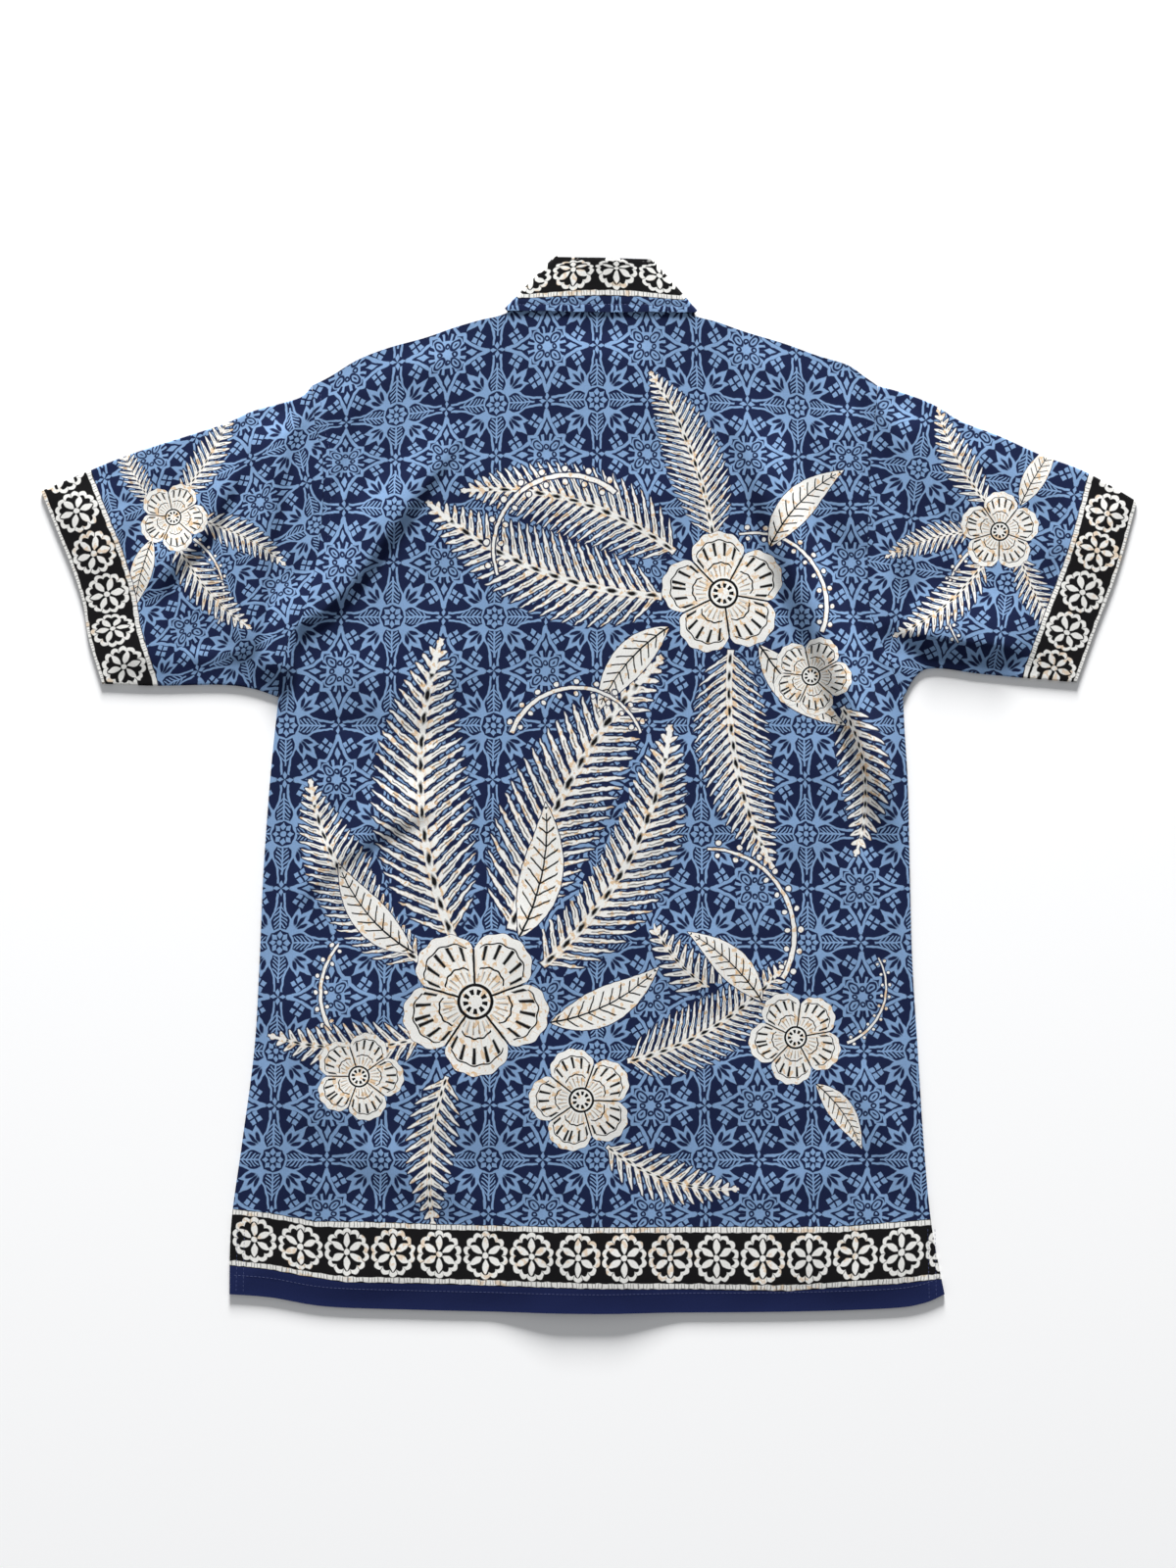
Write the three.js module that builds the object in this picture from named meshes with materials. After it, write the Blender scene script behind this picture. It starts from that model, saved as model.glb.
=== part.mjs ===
// Short-sleeved hawaiian shirt with a batik print, laid flat with its back up.
// Millimetres, +Z up. The collar points along +Y, the hem along -Y, and the
// cloth lies on Z = 0 with its fronts and the buttons underneath.
import * as THREE from "three";

// Cloth and seams
const CLOTH = 1.2; // wall of every panel
const GAP = 0.3; // clearance between pieces
const HALF = CLOTH / 2;
const STEP = CLOTH + GAP; // from one layer to the next
const BODY_AIR = 0.8; // slack between the back and the fronts
const EDGE_ROUND = 26; // how far in from an edge the back rises

// Front closing
const OVERLAP = 15; // each front passes the centre line by this
const CENTRE_TOP = { x: 1.9, y: 308 };
const CENTRE_HEM = { x: -2.3, y: -407 };
const FRONT_HEM_INSET = 2.5; // the fronts end above the back's hem
const BUTTON_COUNT = 6;
const BUTTON_FIRST_Y = 270;
const BUTTON_PITCH = 109;
const BUTTON_RADIUS = 5.75;
const BUTTON_THICK = 2.0;
const BUTTON_HOLE_RADIUS = 0.9;
const BUTTON_HOLE_OFFSET = 1.35;
const BUTTON_LIFT = BUTTON_THICK + GAP;
const OVERLAP_SLACK = 0.15; // extra room between the two fronts

// Collar
const FALL_BEND = 2.25; // middle radius of the fall where it turns round the neck
const STAND_BEND = 0.75; // middle radius of the stand there
const ROLL_AT_SIDES = 1.5; // fall to stand at the ends of the fold line
const ROLL_AT_BACK = 3.6; // and at the middle of the back
const STAND_BACK_Z = 2 * STEP + HALF;
const FALL_BACK_Z = 3 * STEP + HALF;

// Grid counts
const SIDE_ROWS = 16;
const ARMHOLE_ROWS = 13;
const SHOULDER_COLUMNS = 10;
const NECK_COLUMNS = 10;
const FRONT_NECK_COLUMNS = 6;
const SLEEVE_SECTIONS = 10;

// Side seams: x of each side at height y, from the hem up to the armpit.
const SIDES = [
  { y: -395, left: -278.6, right: 275.5 },
  { y: -340, left: -277.2, right: 265.2 },
  { y: -276, left: -268.6, right: 259.2 },
  { y: -204, left: -259.2, right: 254.6 },
  { y: -136, left: -255.2, right: 250.4 },
  { y: -68, left: -252.3, right: 248.5 },
  { y: 0, left: -247.4, right: 247.0 },
  { y: 40, left: -243.5, right: 244.6 },
  { y: 67.5, left: -240.4, right: 243.2 },
];

// Armhole seams: x of each side at height y, from the armpit up to the shoulder.
const ARMHOLES = [
  { y: 67.5, left: -240.4, right: 243.2 },
  { y: 83, left: -239.2, right: 237.1 },
  { y: 114, left: -231.0, right: 225.0 },
  { y: 140, left: -218.0, right: 217.0 },
  { y: 197, left: -207.5, right: 215.8 },
  { y: 250, left: -206.0, right: 218.0 },
  { y: 280, left: -212.0, right: 221.2 },
  { y: 309, left: -214.4, right: 223.4 },
];

// Shoulder seams, from the sleeve to the neck.
const SHOULDERS = [
  { leftX: -214.4, leftY: 309.0, rightX: 223.4, rightY: 309.0 },
  { leftX: -199.9, leftY: 316.5, rightX: 212.8, rightY: 316.5 },
  { leftX: -179.4, leftY: 329.0, rightX: 199.9, rightY: 325.2 },
  { leftX: -155.8, leftY: 338.2, rightX: 176.3, rightY: 332.5 },
  { leftX: -126.9, leftY: 346.2, rightX: 151.2, rightY: 341.6 },
  { leftX: -104.9, leftY: 353.8, rightX: 120.8, rightY: 350.7 },
  { leftX: -83.6, leftY: 359.9, rightX: 98.0, rightY: 358.6 },
  { leftX: -71.4, leftY: 362.5, rightX: 87.4, rightY: 361.2 },
  { leftX: -59.3, leftY: 367.1, rightX: 75.2, rightY: 365.2 },
  { leftX: -45.6, leftY: 374.3, rightX: 57.0, rightY: 374.3 },
];

// Hem edge of the back, left to right.
const HEM = [
  { x: -278.6, y: -395.0 },
  { x: -246.6, y: -397.5 },
  { x: -203.7, y: -404.5 },
  { x: -137.6, y: -407.0 },
  { x: -72.2, y: -408.5 },
  { x: -0.8, y: -409.9 },
  { x: 57.0, y: -409.3 },
  { x: 154.3, y: -408.5 },
  { x: 231.8, y: -406.0 },
  { x: 259.2, y: -402.0 },
  { x: 275.5, y: -395.0 },
];

// Neck seam of the back, left to right.
const BACK_NECK = [
  { x: -45.6, y: 374.3 },
  { x: -19.8, y: 372.4 },
  { x: 4.6, y: 371.8 },
  { x: 30.0, y: 372.4 },
  { x: 57.0, y: 374.3 },
];

// Neck seams of the fronts, from the shoulder to the front edge.
const FRONT_NECKS = [
  { leftX: -45.6, leftY: 374.3, rightX: 57.0, rightY: 374.3 },
  { leftX: -39.5, leftY: 353.8, rightX: 50.9, rightY: 353.8 },
  { leftX: -28.9, leftY: 333.3, rightX: 38.8, rightY: 333.3 },
  { leftX: -13.7, leftY: 318.1, rightX: 23.6, rightY: 318.1 },
  { leftX: 16.9, leftY: 310.5, rightX: -13.1, rightY: 310.5 },
];

// Sleeves: the upper fold and the underarm seam, from the body to the cuff.
const SLEEVE_TOPS = [
  { leftX: -214.4, leftY: 309.0, rightX: 223.4, rightY: 309.0 },
  { leftX: -222.7, leftY: 300.6, rightX: 240.2, rightY: 304.6 },
  { leftX: -239.4, leftY: 295.3, rightX: 266.0, rightY: 294.9 },
  { leftX: -261.4, leftY: 289.2, rightX: 288.0, rightY: 281.6 },
  { leftX: -285.8, leftY: 278.5, rightX: 317.7, rightY: 270.2 },
  { leftX: -351.9, leftY: 257.3, rightX: 350.4, rightY: 255.4 },
  { leftX: -388.4, leftY: 242.8, rightX: 385.3, rightY: 242.1 },
  { leftX: -424.6, leftY: 227.6, rightX: 424.4, rightY: 219.6 },
];
const SLEEVE_UNDERS = [
  { leftX: -240.4, leftY: 67.5, rightX: 243.2, rightY: 67.5 },
  { leftX: -260.7, leftY: 74.1, rightX: 260.5, rightY: 89.0 },
  { leftX: -285.8, leftY: 77.1, rightX: 304.0, rightY: 85.5 },
  { leftX: -336.7, leftY: 76.4, rightX: 335.9, rightY: 82.5 },
  { leftX: -377.0, leftY: 77.9, rightX: 377.7, rightY: 79.0 },
];
const CUFFS = [
  { leftX: -424.6, leftY: 227.6, rightX: 424.4, rightY: 219.6 },
  { leftX: -411.2, leftY: 194.2, rightX: 414.6, rightY: 182.8 },
  { leftX: -400.5, leftY: 167.6, rightX: 406.2, rightY: 156.2 },
  { leftX: -392.2, leftY: 141.0, rightX: 393.0, rightY: 122.0 },
  { leftX: -387.6, leftY: 112.9, rightX: 383.0, rightY: 94.0 },
  { leftX: -377.0, leftY: 77.9, rightX: 377.7, rightY: 79.0 },
];

// Collar, as the flat outline of its turned strip.
const BACK_FOLD = { leftX: -25.8, leftY: 410.6, rightX: 47.9, rightY: 408.8 };
const BACK_FALL_EDGE = [
  { x: -65.4, y: 369.0 },
  { x: -31.2, y: 366.8 },
  { x: 4.6, y: 365.8 },
  { x: 44.8, y: 366.0 },
  { x: 84.0, y: 367.4 },
];
const FRONT_FOLDS = [
  { leftX: -25.8, leftY: 410.6, rightX: 47.9, rightY: 408.8 },
  { leftX: -18.2, leftY: 372.8, rightX: 31.2, rightY: 372.8 },
  { leftX: -9.9, leftY: 346.2, rightX: 22.0, rightY: 346.2 },
  { leftX: -0.8, leftY: 333.3, rightX: 12.9, rightY: 333.3 },
];
const FRONT_LEAF_EDGES = [
  { leftX: -65.4, leftY: 369.0, rightX: 84.0, rightY: 367.4 },
  { leftX: -67.6, leftY: 334.8, rightX: 84.4, rightY: 333.3 },
  { leftX: -50.2, leftY: 274.0, rightX: 63.1, rightY: 274.0 },
];
const COLLAR_ZONE = [
  { x: -65, y: 369 },
  { x: -26, y: 410 },
  { x: 48, y: 408 },
  { x: 84, y: 367 },
  { x: 84, y: 333 },
  { x: 63, y: 274 },
  { x: -50, y: 274 },
  { x: -68, y: 335 },
];
const ZONE_FLAT = 14; // the layers over the collar stay level this far out
const ZONE_FALL = 36; // and come down over this much more

// Folds that stand up from the cloth: height and half width, and the crest's path.
const FOLDS = [
  {
    height: 2.7,
    width: 25,
    crest: [
      { x: -99.6, y: 251.2 },
      { x: -137.6, y: 205.6 },
      { x: -183.2, y: 160.0 },
      { x: -217.4, y: 122.0 },
      { x: -228.0, y: 70.0 },
      { x: -226.0, y: -20.0 },
    ],
  },
  {
    height: 2.7,
    width: 27,
    crest: [
      { x: 132.2, y: 290.0 },
      { x: 151.2, y: 198.0 },
      { x: 185.4, y: 137.2 },
      { x: 208.2, y: 76.4 },
      { x: 224.0, y: 8.0 },
      { x: 228.0, y: -70.0 },
    ],
  },
  {
    height: 1.6,
    width: 16,
    crest: [
      { x: -224.0, y: 286.0 },
      { x: -229.0, y: 213.2 },
      { x: -240.0, y: 150.0 },
      { x: -252.0, y: 100.0 },
    ],
  },
  {
    height: 2.2,
    width: 22,
    crest: [
      { x: -262.0, y: 262.0 },
      { x: -300.0, y: 190.0 },
      { x: -318.0, y: 120.0 },
    ],
  },
  {
    height: 1.5,
    width: 16,
    crest: [
      { x: 200.0, y: 297.0 },
      { x: 199.0, y: 243.6 },
      { x: 205.0, y: 182.8 },
      { x: 214.0, y: 120.0 },
    ],
  },
  {
    height: 2.2,
    width: 24,
    crest: [
      { x: 296.0, y: 254.0 },
      { x: 284.0, y: 190.0 },
      { x: 292.0, y: 120.0 },
    ],
  },
  {
    height: 1.5,
    width: 26,
    crest: [
      { x: -236.0, y: -110.0 },
      { x: -175.6, y: -52.8 },
    ],
  },
  {
    height: 1.4,
    width: 24,
    crest: [
      { x: 226.0, y: -180.0 },
      { x: 170.0, y: -230.0 },
    ],
  },
];

// Materials
const BATIK = new THREE.MeshStandardMaterial({
  color: 0x3f6097,
  roughness: 0.9,
  metalness: 0,
  side: THREE.DoubleSide,
});
const BORDER = new THREE.MeshStandardMaterial({
  color: 0x2a2c38,
  roughness: 0.9,
  metalness: 0,
});
const BUTTON = new THREE.MeshStandardMaterial({
  color: 0x1d2438,
  roughness: 0.35,
  metalness: 0,
});

// Small helpers
const clamp01 = (t) => Math.min(1, Math.max(0, t));
const smooth = (t) => clamp01(t) ** 2 * (3 - 2 * clamp01(t));
const ramp = (from, to, v) => smooth((v - from) / (to - from));
const mix = (a, b, t) => a + (b - a) * t;
const flat = (x, y) => new THREE.Vector2(x, y);
const raised = (p, z) => new THREE.Vector3(p.x, p.y, z);

function curveOf(rows, xKey = "x", yKey = "y") {
  return new THREE.SplineCurve(rows.map((r) => flat(r[xKey], r[yKey])));
}

function spaced(curve, count) {
  return curve.getSpacedPoints(count);
}

// The same row of points moved sideways, to the left of its direction
function moved(points, by) {
  return points.map((p, i) => {
    const before = points[Math.max(0, i - 1)];
    const after = points[Math.min(points.length - 1, i + 1)];
    const along = after.clone().sub(before).normalize();
    return p.clone().add(flat(-along.y, along.x).multiplyScalar(by));
  });
}

function segmentDistance(p, a, b) {
  const ab = b.clone().sub(a);
  const t = clamp01(p.clone().sub(a).dot(ab) / ab.lengthSq());
  return { distance: p.distanceTo(a.clone().addScaledVector(ab, t)), along: t };
}

function pathDistance(p, path, closed = false) {
  let best = { distance: Infinity, along: 0 };
  const last = closed ? path.length : path.length - 1;
  for (let i = 0; i < last; i += 1) {
    const hit = segmentDistance(p, path[i], path[(i + 1) % path.length]);
    if (hit.distance < best.distance) {
      best = { distance: hit.distance, along: (i + hit.along) / last };
    }
  }
  return best;
}

function insidePolygon(p, corners) {
  let inside = false;
  for (let i = 0, j = corners.length - 1; i < corners.length; j = i, i += 1) {
    const a = corners[i];
    const b = corners[j];
    const crosses = a.y > p.y !== b.y > p.y;
    if (crosses && p.x < ((b.x - a.x) * (p.y - a.y)) / (b.y - a.y) + a.x) {
      inside = !inside;
    }
  }
  return inside;
}

// Edges of the panels, both sides under one name
const side = {
  left: spaced(curveOf(SIDES, "left"), SIDE_ROWS),
  right: spaced(curveOf(SIDES, "right"), SIDE_ROWS),
};
const armhole = {
  left: spaced(curveOf(ARMHOLES, "left"), ARMHOLE_ROWS),
  right: spaced(curveOf(ARMHOLES, "right"), ARMHOLE_ROWS),
};
const shoulder = {
  left: spaced(curveOf(SHOULDERS, "leftX", "leftY"), SHOULDER_COLUMNS),
  right: spaced(curveOf(SHOULDERS, "rightX", "rightY"), SHOULDER_COLUMNS),
};
const frontNeck = {
  left: spaced(curveOf(FRONT_NECKS, "leftX", "leftY"), FRONT_NECK_COLUMNS),
  right: spaced(curveOf(FRONT_NECKS, "rightX", "rightY"), FRONT_NECK_COLUMNS),
};
const hemCurve = curveOf(HEM);
const sleeveTop = {
  left: curveOf(SLEEVE_TOPS, "leftX", "leftY"),
  right: curveOf(SLEEVE_TOPS, "rightX", "rightY"),
};
const sleeveUnder = {
  left: curveOf(SLEEVE_UNDERS, "leftX", "leftY"),
  right: curveOf(SLEEVE_UNDERS, "rightX", "rightY"),
};
const cuff = {
  left: curveOf(CUFFS, "leftX", "leftY"),
  right: curveOf(CUFFS, "rightX", "rightY"),
};

// The whole outline, used to bring the cloth down at its edges
const outline = [
  ...spaced(hemCurve, 30),
  ...side.right,
  ...spaced(sleeveUnder.right, 12),
  ...spaced(cuff.right, 12).reverse(),
  ...spaced(sleeveTop.right, 20).reverse(),
  ...shoulder.right,
  ...[...shoulder.left].reverse(),
  ...spaced(sleeveTop.left, 20),
  ...spaced(cuff.left, 12),
  ...spaced(sleeveUnder.left, 12).reverse(),
  ...[...side.left].reverse(),
];
const zoneCorners = COLLAR_ZONE.map((c) => flat(c.x, c.y));
const crests = FOLDS.map((f) => f.crest.map((c) => flat(c.x, c.y)));

// Heights of the layers, each the underside of its cloth at x, y
function collarZone(x, y, fall = ZONE_FALL) {
  const p = flat(x, y);
  if (insidePolygon(p, zoneCorners)) return 1;
  const away = pathDistance(p, zoneCorners, true).distance;
  return 1 - ramp(ZONE_FLAT, ZONE_FLAT + fall, away);
}

function fromCentre(x, y) {
  const t = (y - CENTRE_TOP.y) / (CENTRE_HEM.y - CENTRE_TOP.y);
  return x - mix(CENTRE_TOP.x, CENTRE_HEM.x, t);
}

function buttonZone(y) {
  return ramp(308, 292, y);
}

function leftFrontLift(x, y) {
  const placket = ramp(-60, -12, fromCentre(x, y)) * buttonZone(y);
  return Math.max(STEP * collarZone(x, y), BUTTON_LIFT * placket);
}

function rightFrontLift(x, y) {
  const over = 1 - ramp(16, 62, fromCentre(x, y));
  const onTop = mix(STEP * 2, BUTTON_LIFT + STEP, buttonZone(y));
  return Math.max(STEP * collarZone(x, y), over * (onTop + OVERLAP_SLACK));
}

function foldHeight(x, y) {
  const p = flat(x, y);
  let total = 0;
  crests.forEach((path, i) => {
    const hit = pathDistance(p, path);
    const across = clamp01(1 - (hit.distance / FOLDS[i].width) ** 2) ** 2;
    const along = ramp(0, 0.25, hit.along) * ramp(1, 0.8, hit.along);
    total = Math.max(total, FOLDS[i].height * across * mix(0.35, 1, along));
  });
  return total;
}

function backLift(x, y) {
  const zone = collarZone(x, y);
  const centre = 1 - ramp(18, 80, Math.abs(fromCentre(x, y)));
  const bump = centre * ramp(367, 326, y);
  const base = STEP + Math.max(STEP * zone, (BUTTON_LIFT + STEP + OVERLAP_SLACK) * bump);
  const inside = ramp(0, EDGE_ROUND, pathDistance(flat(x, y), outline, true).distance);
  return base + inside * (1 - zone) * (1 - bump) * (BODY_AIR + foldHeight(x, y));
}

// A grid of points inside four edges (a Coons patch)
function patch(bottom, top, left, right) {
  const rows = left.length - 1;
  const columns = bottom.length - 1;
  const grid = [];
  for (let i = 0; i <= rows; i += 1) {
    const v = i / rows;
    const row = [];
    for (let j = 0; j <= columns; j += 1) {
      const u = j / columns;
      const across = left[i].clone().lerp(right[i], u);
      const upward = bottom[j].clone().lerp(top[j], v);
      const low = bottom[0].clone().lerp(bottom[columns], u);
      const high = top[0].clone().lerp(top[columns], u);
      row.push(across.add(upward).sub(low.lerp(high, v)));
    }
    grid.push(row);
  }
  return grid;
}

// A closed wall of cloth about a grid of middle points
function clothWall(middle, closedColumns = false) {
  const rows = middle.length;
  const columns = middle[0].length;
  const at = (i, j) => {
    const jj = closedColumns ? (j + columns) % columns : Math.min(columns - 1, Math.max(0, j));
    return middle[Math.min(rows - 1, Math.max(0, i))][jj];
  };
  const positions = [];
  const normalAt = (i, j) => {
    const n = new THREE.Vector3();
    const p = at(i, j);
    const corners = [
      [at(i, j + 1), at(i + 1, j)],
      [at(i + 1, j), at(i, j - 1)],
      [at(i, j - 1), at(i - 1, j)],
      [at(i - 1, j), at(i, j + 1)],
    ];
    corners.forEach(([a, b]) => {
      const face = a.clone().sub(p).cross(b.clone().sub(p));
      if (face.lengthSq() > 1e-12) n.add(face.normalize());
    });
    return n.normalize();
  };
  for (const way of [HALF, -HALF]) {
    for (let i = 0; i < rows; i += 1) {
      for (let j = 0; j < columns; j += 1) {
        positions.push(...at(i, j).clone().addScaledVector(normalAt(i, j), way).toArray());
      }
    }
  }
  const under = rows * columns;
  const id = (i, j) => i * columns + (j % columns);
  const index = [];
  const quad = (a, b, c, d) => index.push(a, b, c, a, c, d);
  const spans = closedColumns ? columns : columns - 1;
  for (let i = 0; i < rows - 1; i += 1) {
    for (let j = 0; j < spans; j += 1) {
      const [a, b, c, d] = [id(i, j), id(i, j + 1), id(i + 1, j + 1), id(i + 1, j)];
      quad(a, b, c, d);
      quad(under + d, under + c, under + b, under + a);
    }
  }
  for (let j = 0; j < spans; j += 1) {
    const last = rows - 1;
    quad(id(0, j + 1), id(0, j), under + id(0, j), under + id(0, j + 1));
    quad(id(last, j), id(last, j + 1), under + id(last, j + 1), under + id(last, j));
  }
  if (!closedColumns) {
    const last = columns - 1;
    for (let i = 0; i < rows - 1; i += 1) {
      quad(id(i, 0), id(i + 1, 0), under + id(i + 1, 0), under + id(i, 0));
      quad(id(i + 1, last), id(i, last), under + id(i, last), under + id(i + 1, last));
    }
  }
  const geometry = new THREE.BufferGeometry();
  geometry.setAttribute("position", new THREE.Float32BufferAttribute(positions, 3));
  geometry.setIndex(index);
  geometry.computeVertexNormals();
  return geometry;
}

const shirt = new THREE.Group();

function addPiece(name, geometry, material) {
  const mesh = new THREE.Mesh(geometry, material);
  mesh.name = name;
  shirt.add(mesh);
}

// Back: hem, side seams with armholes, shoulders and neck
const hemBreaks = { left: -45.6, right: 57.0 };
const hemPoints = spaced(hemCurve, 400);
const hemAt = (x) => {
  const k = hemPoints.findIndex((p) => p.x >= x);
  if (k < 0) return hemPoints[hemPoints.length - 1].clone();
  if (k === 0) return hemPoints[0].clone();
  const [a, b] = [hemPoints[k - 1], hemPoints[k]];
  return a.clone().lerp(b, (x - a.x) / (b.x - a.x));
};
const hemSpan = (fromX, toX, count) => {
  return Array.from({ length: count + 1 }, (_, i) => hemAt(mix(fromX, toX, i / count)));
};
const hemLeft = hemSpan(HEM[0].x, hemBreaks.left, SHOULDER_COLUMNS);
const hemNeck = hemSpan(hemBreaks.left, hemBreaks.right, NECK_COLUMNS);
const hemRight = hemSpan(hemBreaks.right, HEM[HEM.length - 1].x, SHOULDER_COLUMNS);
const backEdge = {
  bottom: [...hemLeft, ...hemNeck.slice(1), ...hemRight.slice(1)],
  top: [
    ...shoulder.left,
    ...spaced(curveOf(BACK_NECK), NECK_COLUMNS).slice(1),
    ...[...shoulder.right].reverse().slice(1),
  ],
  left: [...side.left, ...armhole.left.slice(1)],
  right: [...side.right, ...armhole.right.slice(1)],
};
const backGrid = patch(backEdge.bottom, backEdge.top, backEdge.left, backEdge.right);
addPiece(
  "back",
  clothWall(backGrid.map((row) => row.map((p) => raised(p, backLift(p.x, p.y) + HALF)))),
  BATIK,
);

// Fronts: each from its side seam to its front edge, past the centre line
function frontEdgePoints(overlap, rows) {
  const top = flat(CENTRE_TOP.x + overlap, FRONT_NECKS[4].leftY);
  const bottom = hemAt(CENTRE_HEM.x + overlap).add(flat(0, FRONT_HEM_INSET));
  return rows.map((p, i) => {
    const low = (p.y - rows[0].y) / (rows[rows.length - 1].y - rows[0].y);
    return bottom.clone().lerp(top, clamp01(low));
  });
}

function frontGrid(which) {
  const left = which === "left";
  const outer = left ? backEdge.left : backEdge.right;
  const inner = frontEdgePoints(left ? OVERLAP : -OVERLAP, outer);
  const breakX = left ? hemBreaks.left : hemBreaks.right;
  const outerX = left ? HEM[0].x : HEM[HEM.length - 1].x;
  const hem = [
    ...hemSpan(outerX, breakX, SHOULDER_COLUMNS),
    ...hemSpan(breakX, inner[0].x, FRONT_NECK_COLUMNS).slice(1),
  ].map((p, i) => p.add(flat(0, FRONT_HEM_INSET * ramp(0, 3, i))));
  const top = [...shoulder[which], ...frontNeck[which].slice(1)];
  const grid = patch(hem, top, outer, inner);
  return left ? grid : grid.map((row) => row.reverse());
}

const frontLift = { left: leftFrontLift, right: rightFrontLift };
for (const which of ["left", "right"]) {
  const lift = frontLift[which];
  const middle = frontGrid(which).map((row) => row.map((p) => raised(p, lift(p.x, p.y) + HALF)));
  addPiece("front_" + which, clothWall(middle), BATIK);
}

// Sleeves: flat tubes, each section a ring of the upper layer, a fold, the lower layer and a fold
const FOLD_STEPS = [0.25, 0.5, 0.75];
const EDGE_INSET = STAND_BEND + HALF;

function sleeveSections(which) {
  const outward = which === "left" ? -1 : 1;
  const seam = moved(armhole[which], -outward * (GAP + 0.02));
  seam[0].x += outward * GAP;
  seam[ARMHOLE_ROWS].x += outward * GAP;
  const pull = (from, to, by) => from.add(to.clone().sub(from).setLength(by));
  pull(seam[0], seam[1], EDGE_INSET);
  pull(seam[ARMHOLE_ROWS], seam[ARMHOLE_ROWS - 1], EDGE_INSET);
  const edge = spaced(cuff[which], ARMHOLE_ROWS).reverse();
  pull(edge[0], edge[1], EDGE_INSET);
  pull(edge[ARMHOLE_ROWS], edge[ARMHOLE_ROWS - 1], EDGE_INSET);
  const under = spaced(sleeveUnder[which], SLEEVE_SECTIONS);
  const over = spaced(sleeveTop[which], SLEEVE_SECTIONS);
  under.forEach((p) => p.add(flat(0, EDGE_INSET)));
  over.forEach((p) => p.add(flat(0, -EDGE_INSET)));
  under[0].copy(seam[0]);
  over[0].copy(seam[ARMHOLE_ROWS]);
  under[SLEEVE_SECTIONS].copy(edge[0]);
  over[SLEEVE_SECTIONS].copy(edge[ARMHOLE_ROWS]);
  return patch(seam, edge, under, over);
}

function sleeveRing(section) {
  const upper = section.map((p) => raised(p, backLift(p.x, p.y) + HALF));
  const lower = section.map((p) => raised(p, HALF));
  const turn = (from, inner) => {
    const out = flat(from.x - inner.x, from.y - inner.y).normalize();
    const radius = (from.z - HALF) / 2;
    return FOLD_STEPS.map((s) => {
      const reach = radius * Math.sin(s * Math.PI);
      const z = HALF + radius * (1 + Math.cos(s * Math.PI));
      return new THREE.Vector3(from.x + out.x * reach, from.y + out.y * reach, z);
    });
  };
  const last = upper.length - 1;
  return [
    ...upper,
    ...turn(upper[last], upper[last - 1]),
    ...lower.reverse(),
    ...turn(upper[0], upper[1]).reverse(),
  ];
}

for (const which of ["left", "right"]) {
  addPiece("sleeve_" + which, clothWall(sleeveSections(which).map(sleeveRing), true), BATIK);
}

// Collar: one strip for the fall and one for the stand, each turned round the
// neck at both sides. A section runs from the fold line outwards or down.
const LEAF_SECTIONS = 5;
const BEND_SECTIONS = 5;
const BACK_SECTIONS = NECK_COLUMNS;
const UP = new THREE.Vector3(0, 0, 1);
const BEND_Z = (HALF + FALL_BACK_Z) / 2;

function inset(p, q, sideways, by) {
  const along = q.clone().sub(p).normalize();
  return flat(-along.y, along.x).multiplyScalar(sideways * by);
}

function bendAxis(which) {
  const left = which === "left";
  const fold = left ? flat(BACK_FOLD.leftX, BACK_FOLD.leftY) : flat(BACK_FOLD.rightX, BACK_FOLD.rightY);
  const tip = left ? flat(-65.4, 369.0) : flat(84.0, 367.4);
  const shift = inset(fold, tip, left ? 1 : -1, FALL_BEND + HALF);
  const down = tip.clone().sub(fold).setLength(ROLL_AT_SIDES / 2 + HALF);
  const neck = frontNeck[which][0].clone();
  const foldAxis = fold.clone().add(shift).add(down);
  neck.add(foldAxis.clone().sub(neck).setLength(GAP * 1.4));
  return { fold: foldAxis, tip: tip.clone().add(shift), neck };
}

// Rows of { fold, tip, neck, normal, roll } that describe the collar round the neck
function frontCollarRows(which) {
  const axis = bendAxis(which);
  const keys = [which + "X", which + "Y"];
  const folds = spaced(curveOf(FRONT_FOLDS, ...keys), LEAF_SECTIONS);
  const tips = spaced(curveOf(FRONT_LEAF_EDGES, ...keys), LEAF_SECTIONS);
  const foldShift = axis.fold.clone().sub(folds[0]);
  const tipShift = axis.tip.clone().sub(tips[0]);
  const seam = moved(frontNeck[which], (which === "left" ? 1 : -1) * (GAP + 0.05));
  const rows = folds.map((f, i) => {
    const t = i / LEAF_SECTIONS;
    const neckPoint = seam[i];
    const fold = f.clone().addScaledVector(foldShift, 1 - t);
    const neckZ = frontLift[which](neckPoint.x, neckPoint.y) + HALF;
    return {
      fold: raised(fold, HALF),
      tip: raised(tips[i].clone().addScaledVector(tipShift, 1 - t), HALF),
      neck: raised(i === 0 ? axis.neck : neckPoint, i === 0 ? STEP + HALF : neckZ),
      normal: UP.clone().negate(),
      roll: ROLL_AT_SIDES,
    };
  });
  return rows;
}

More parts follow.
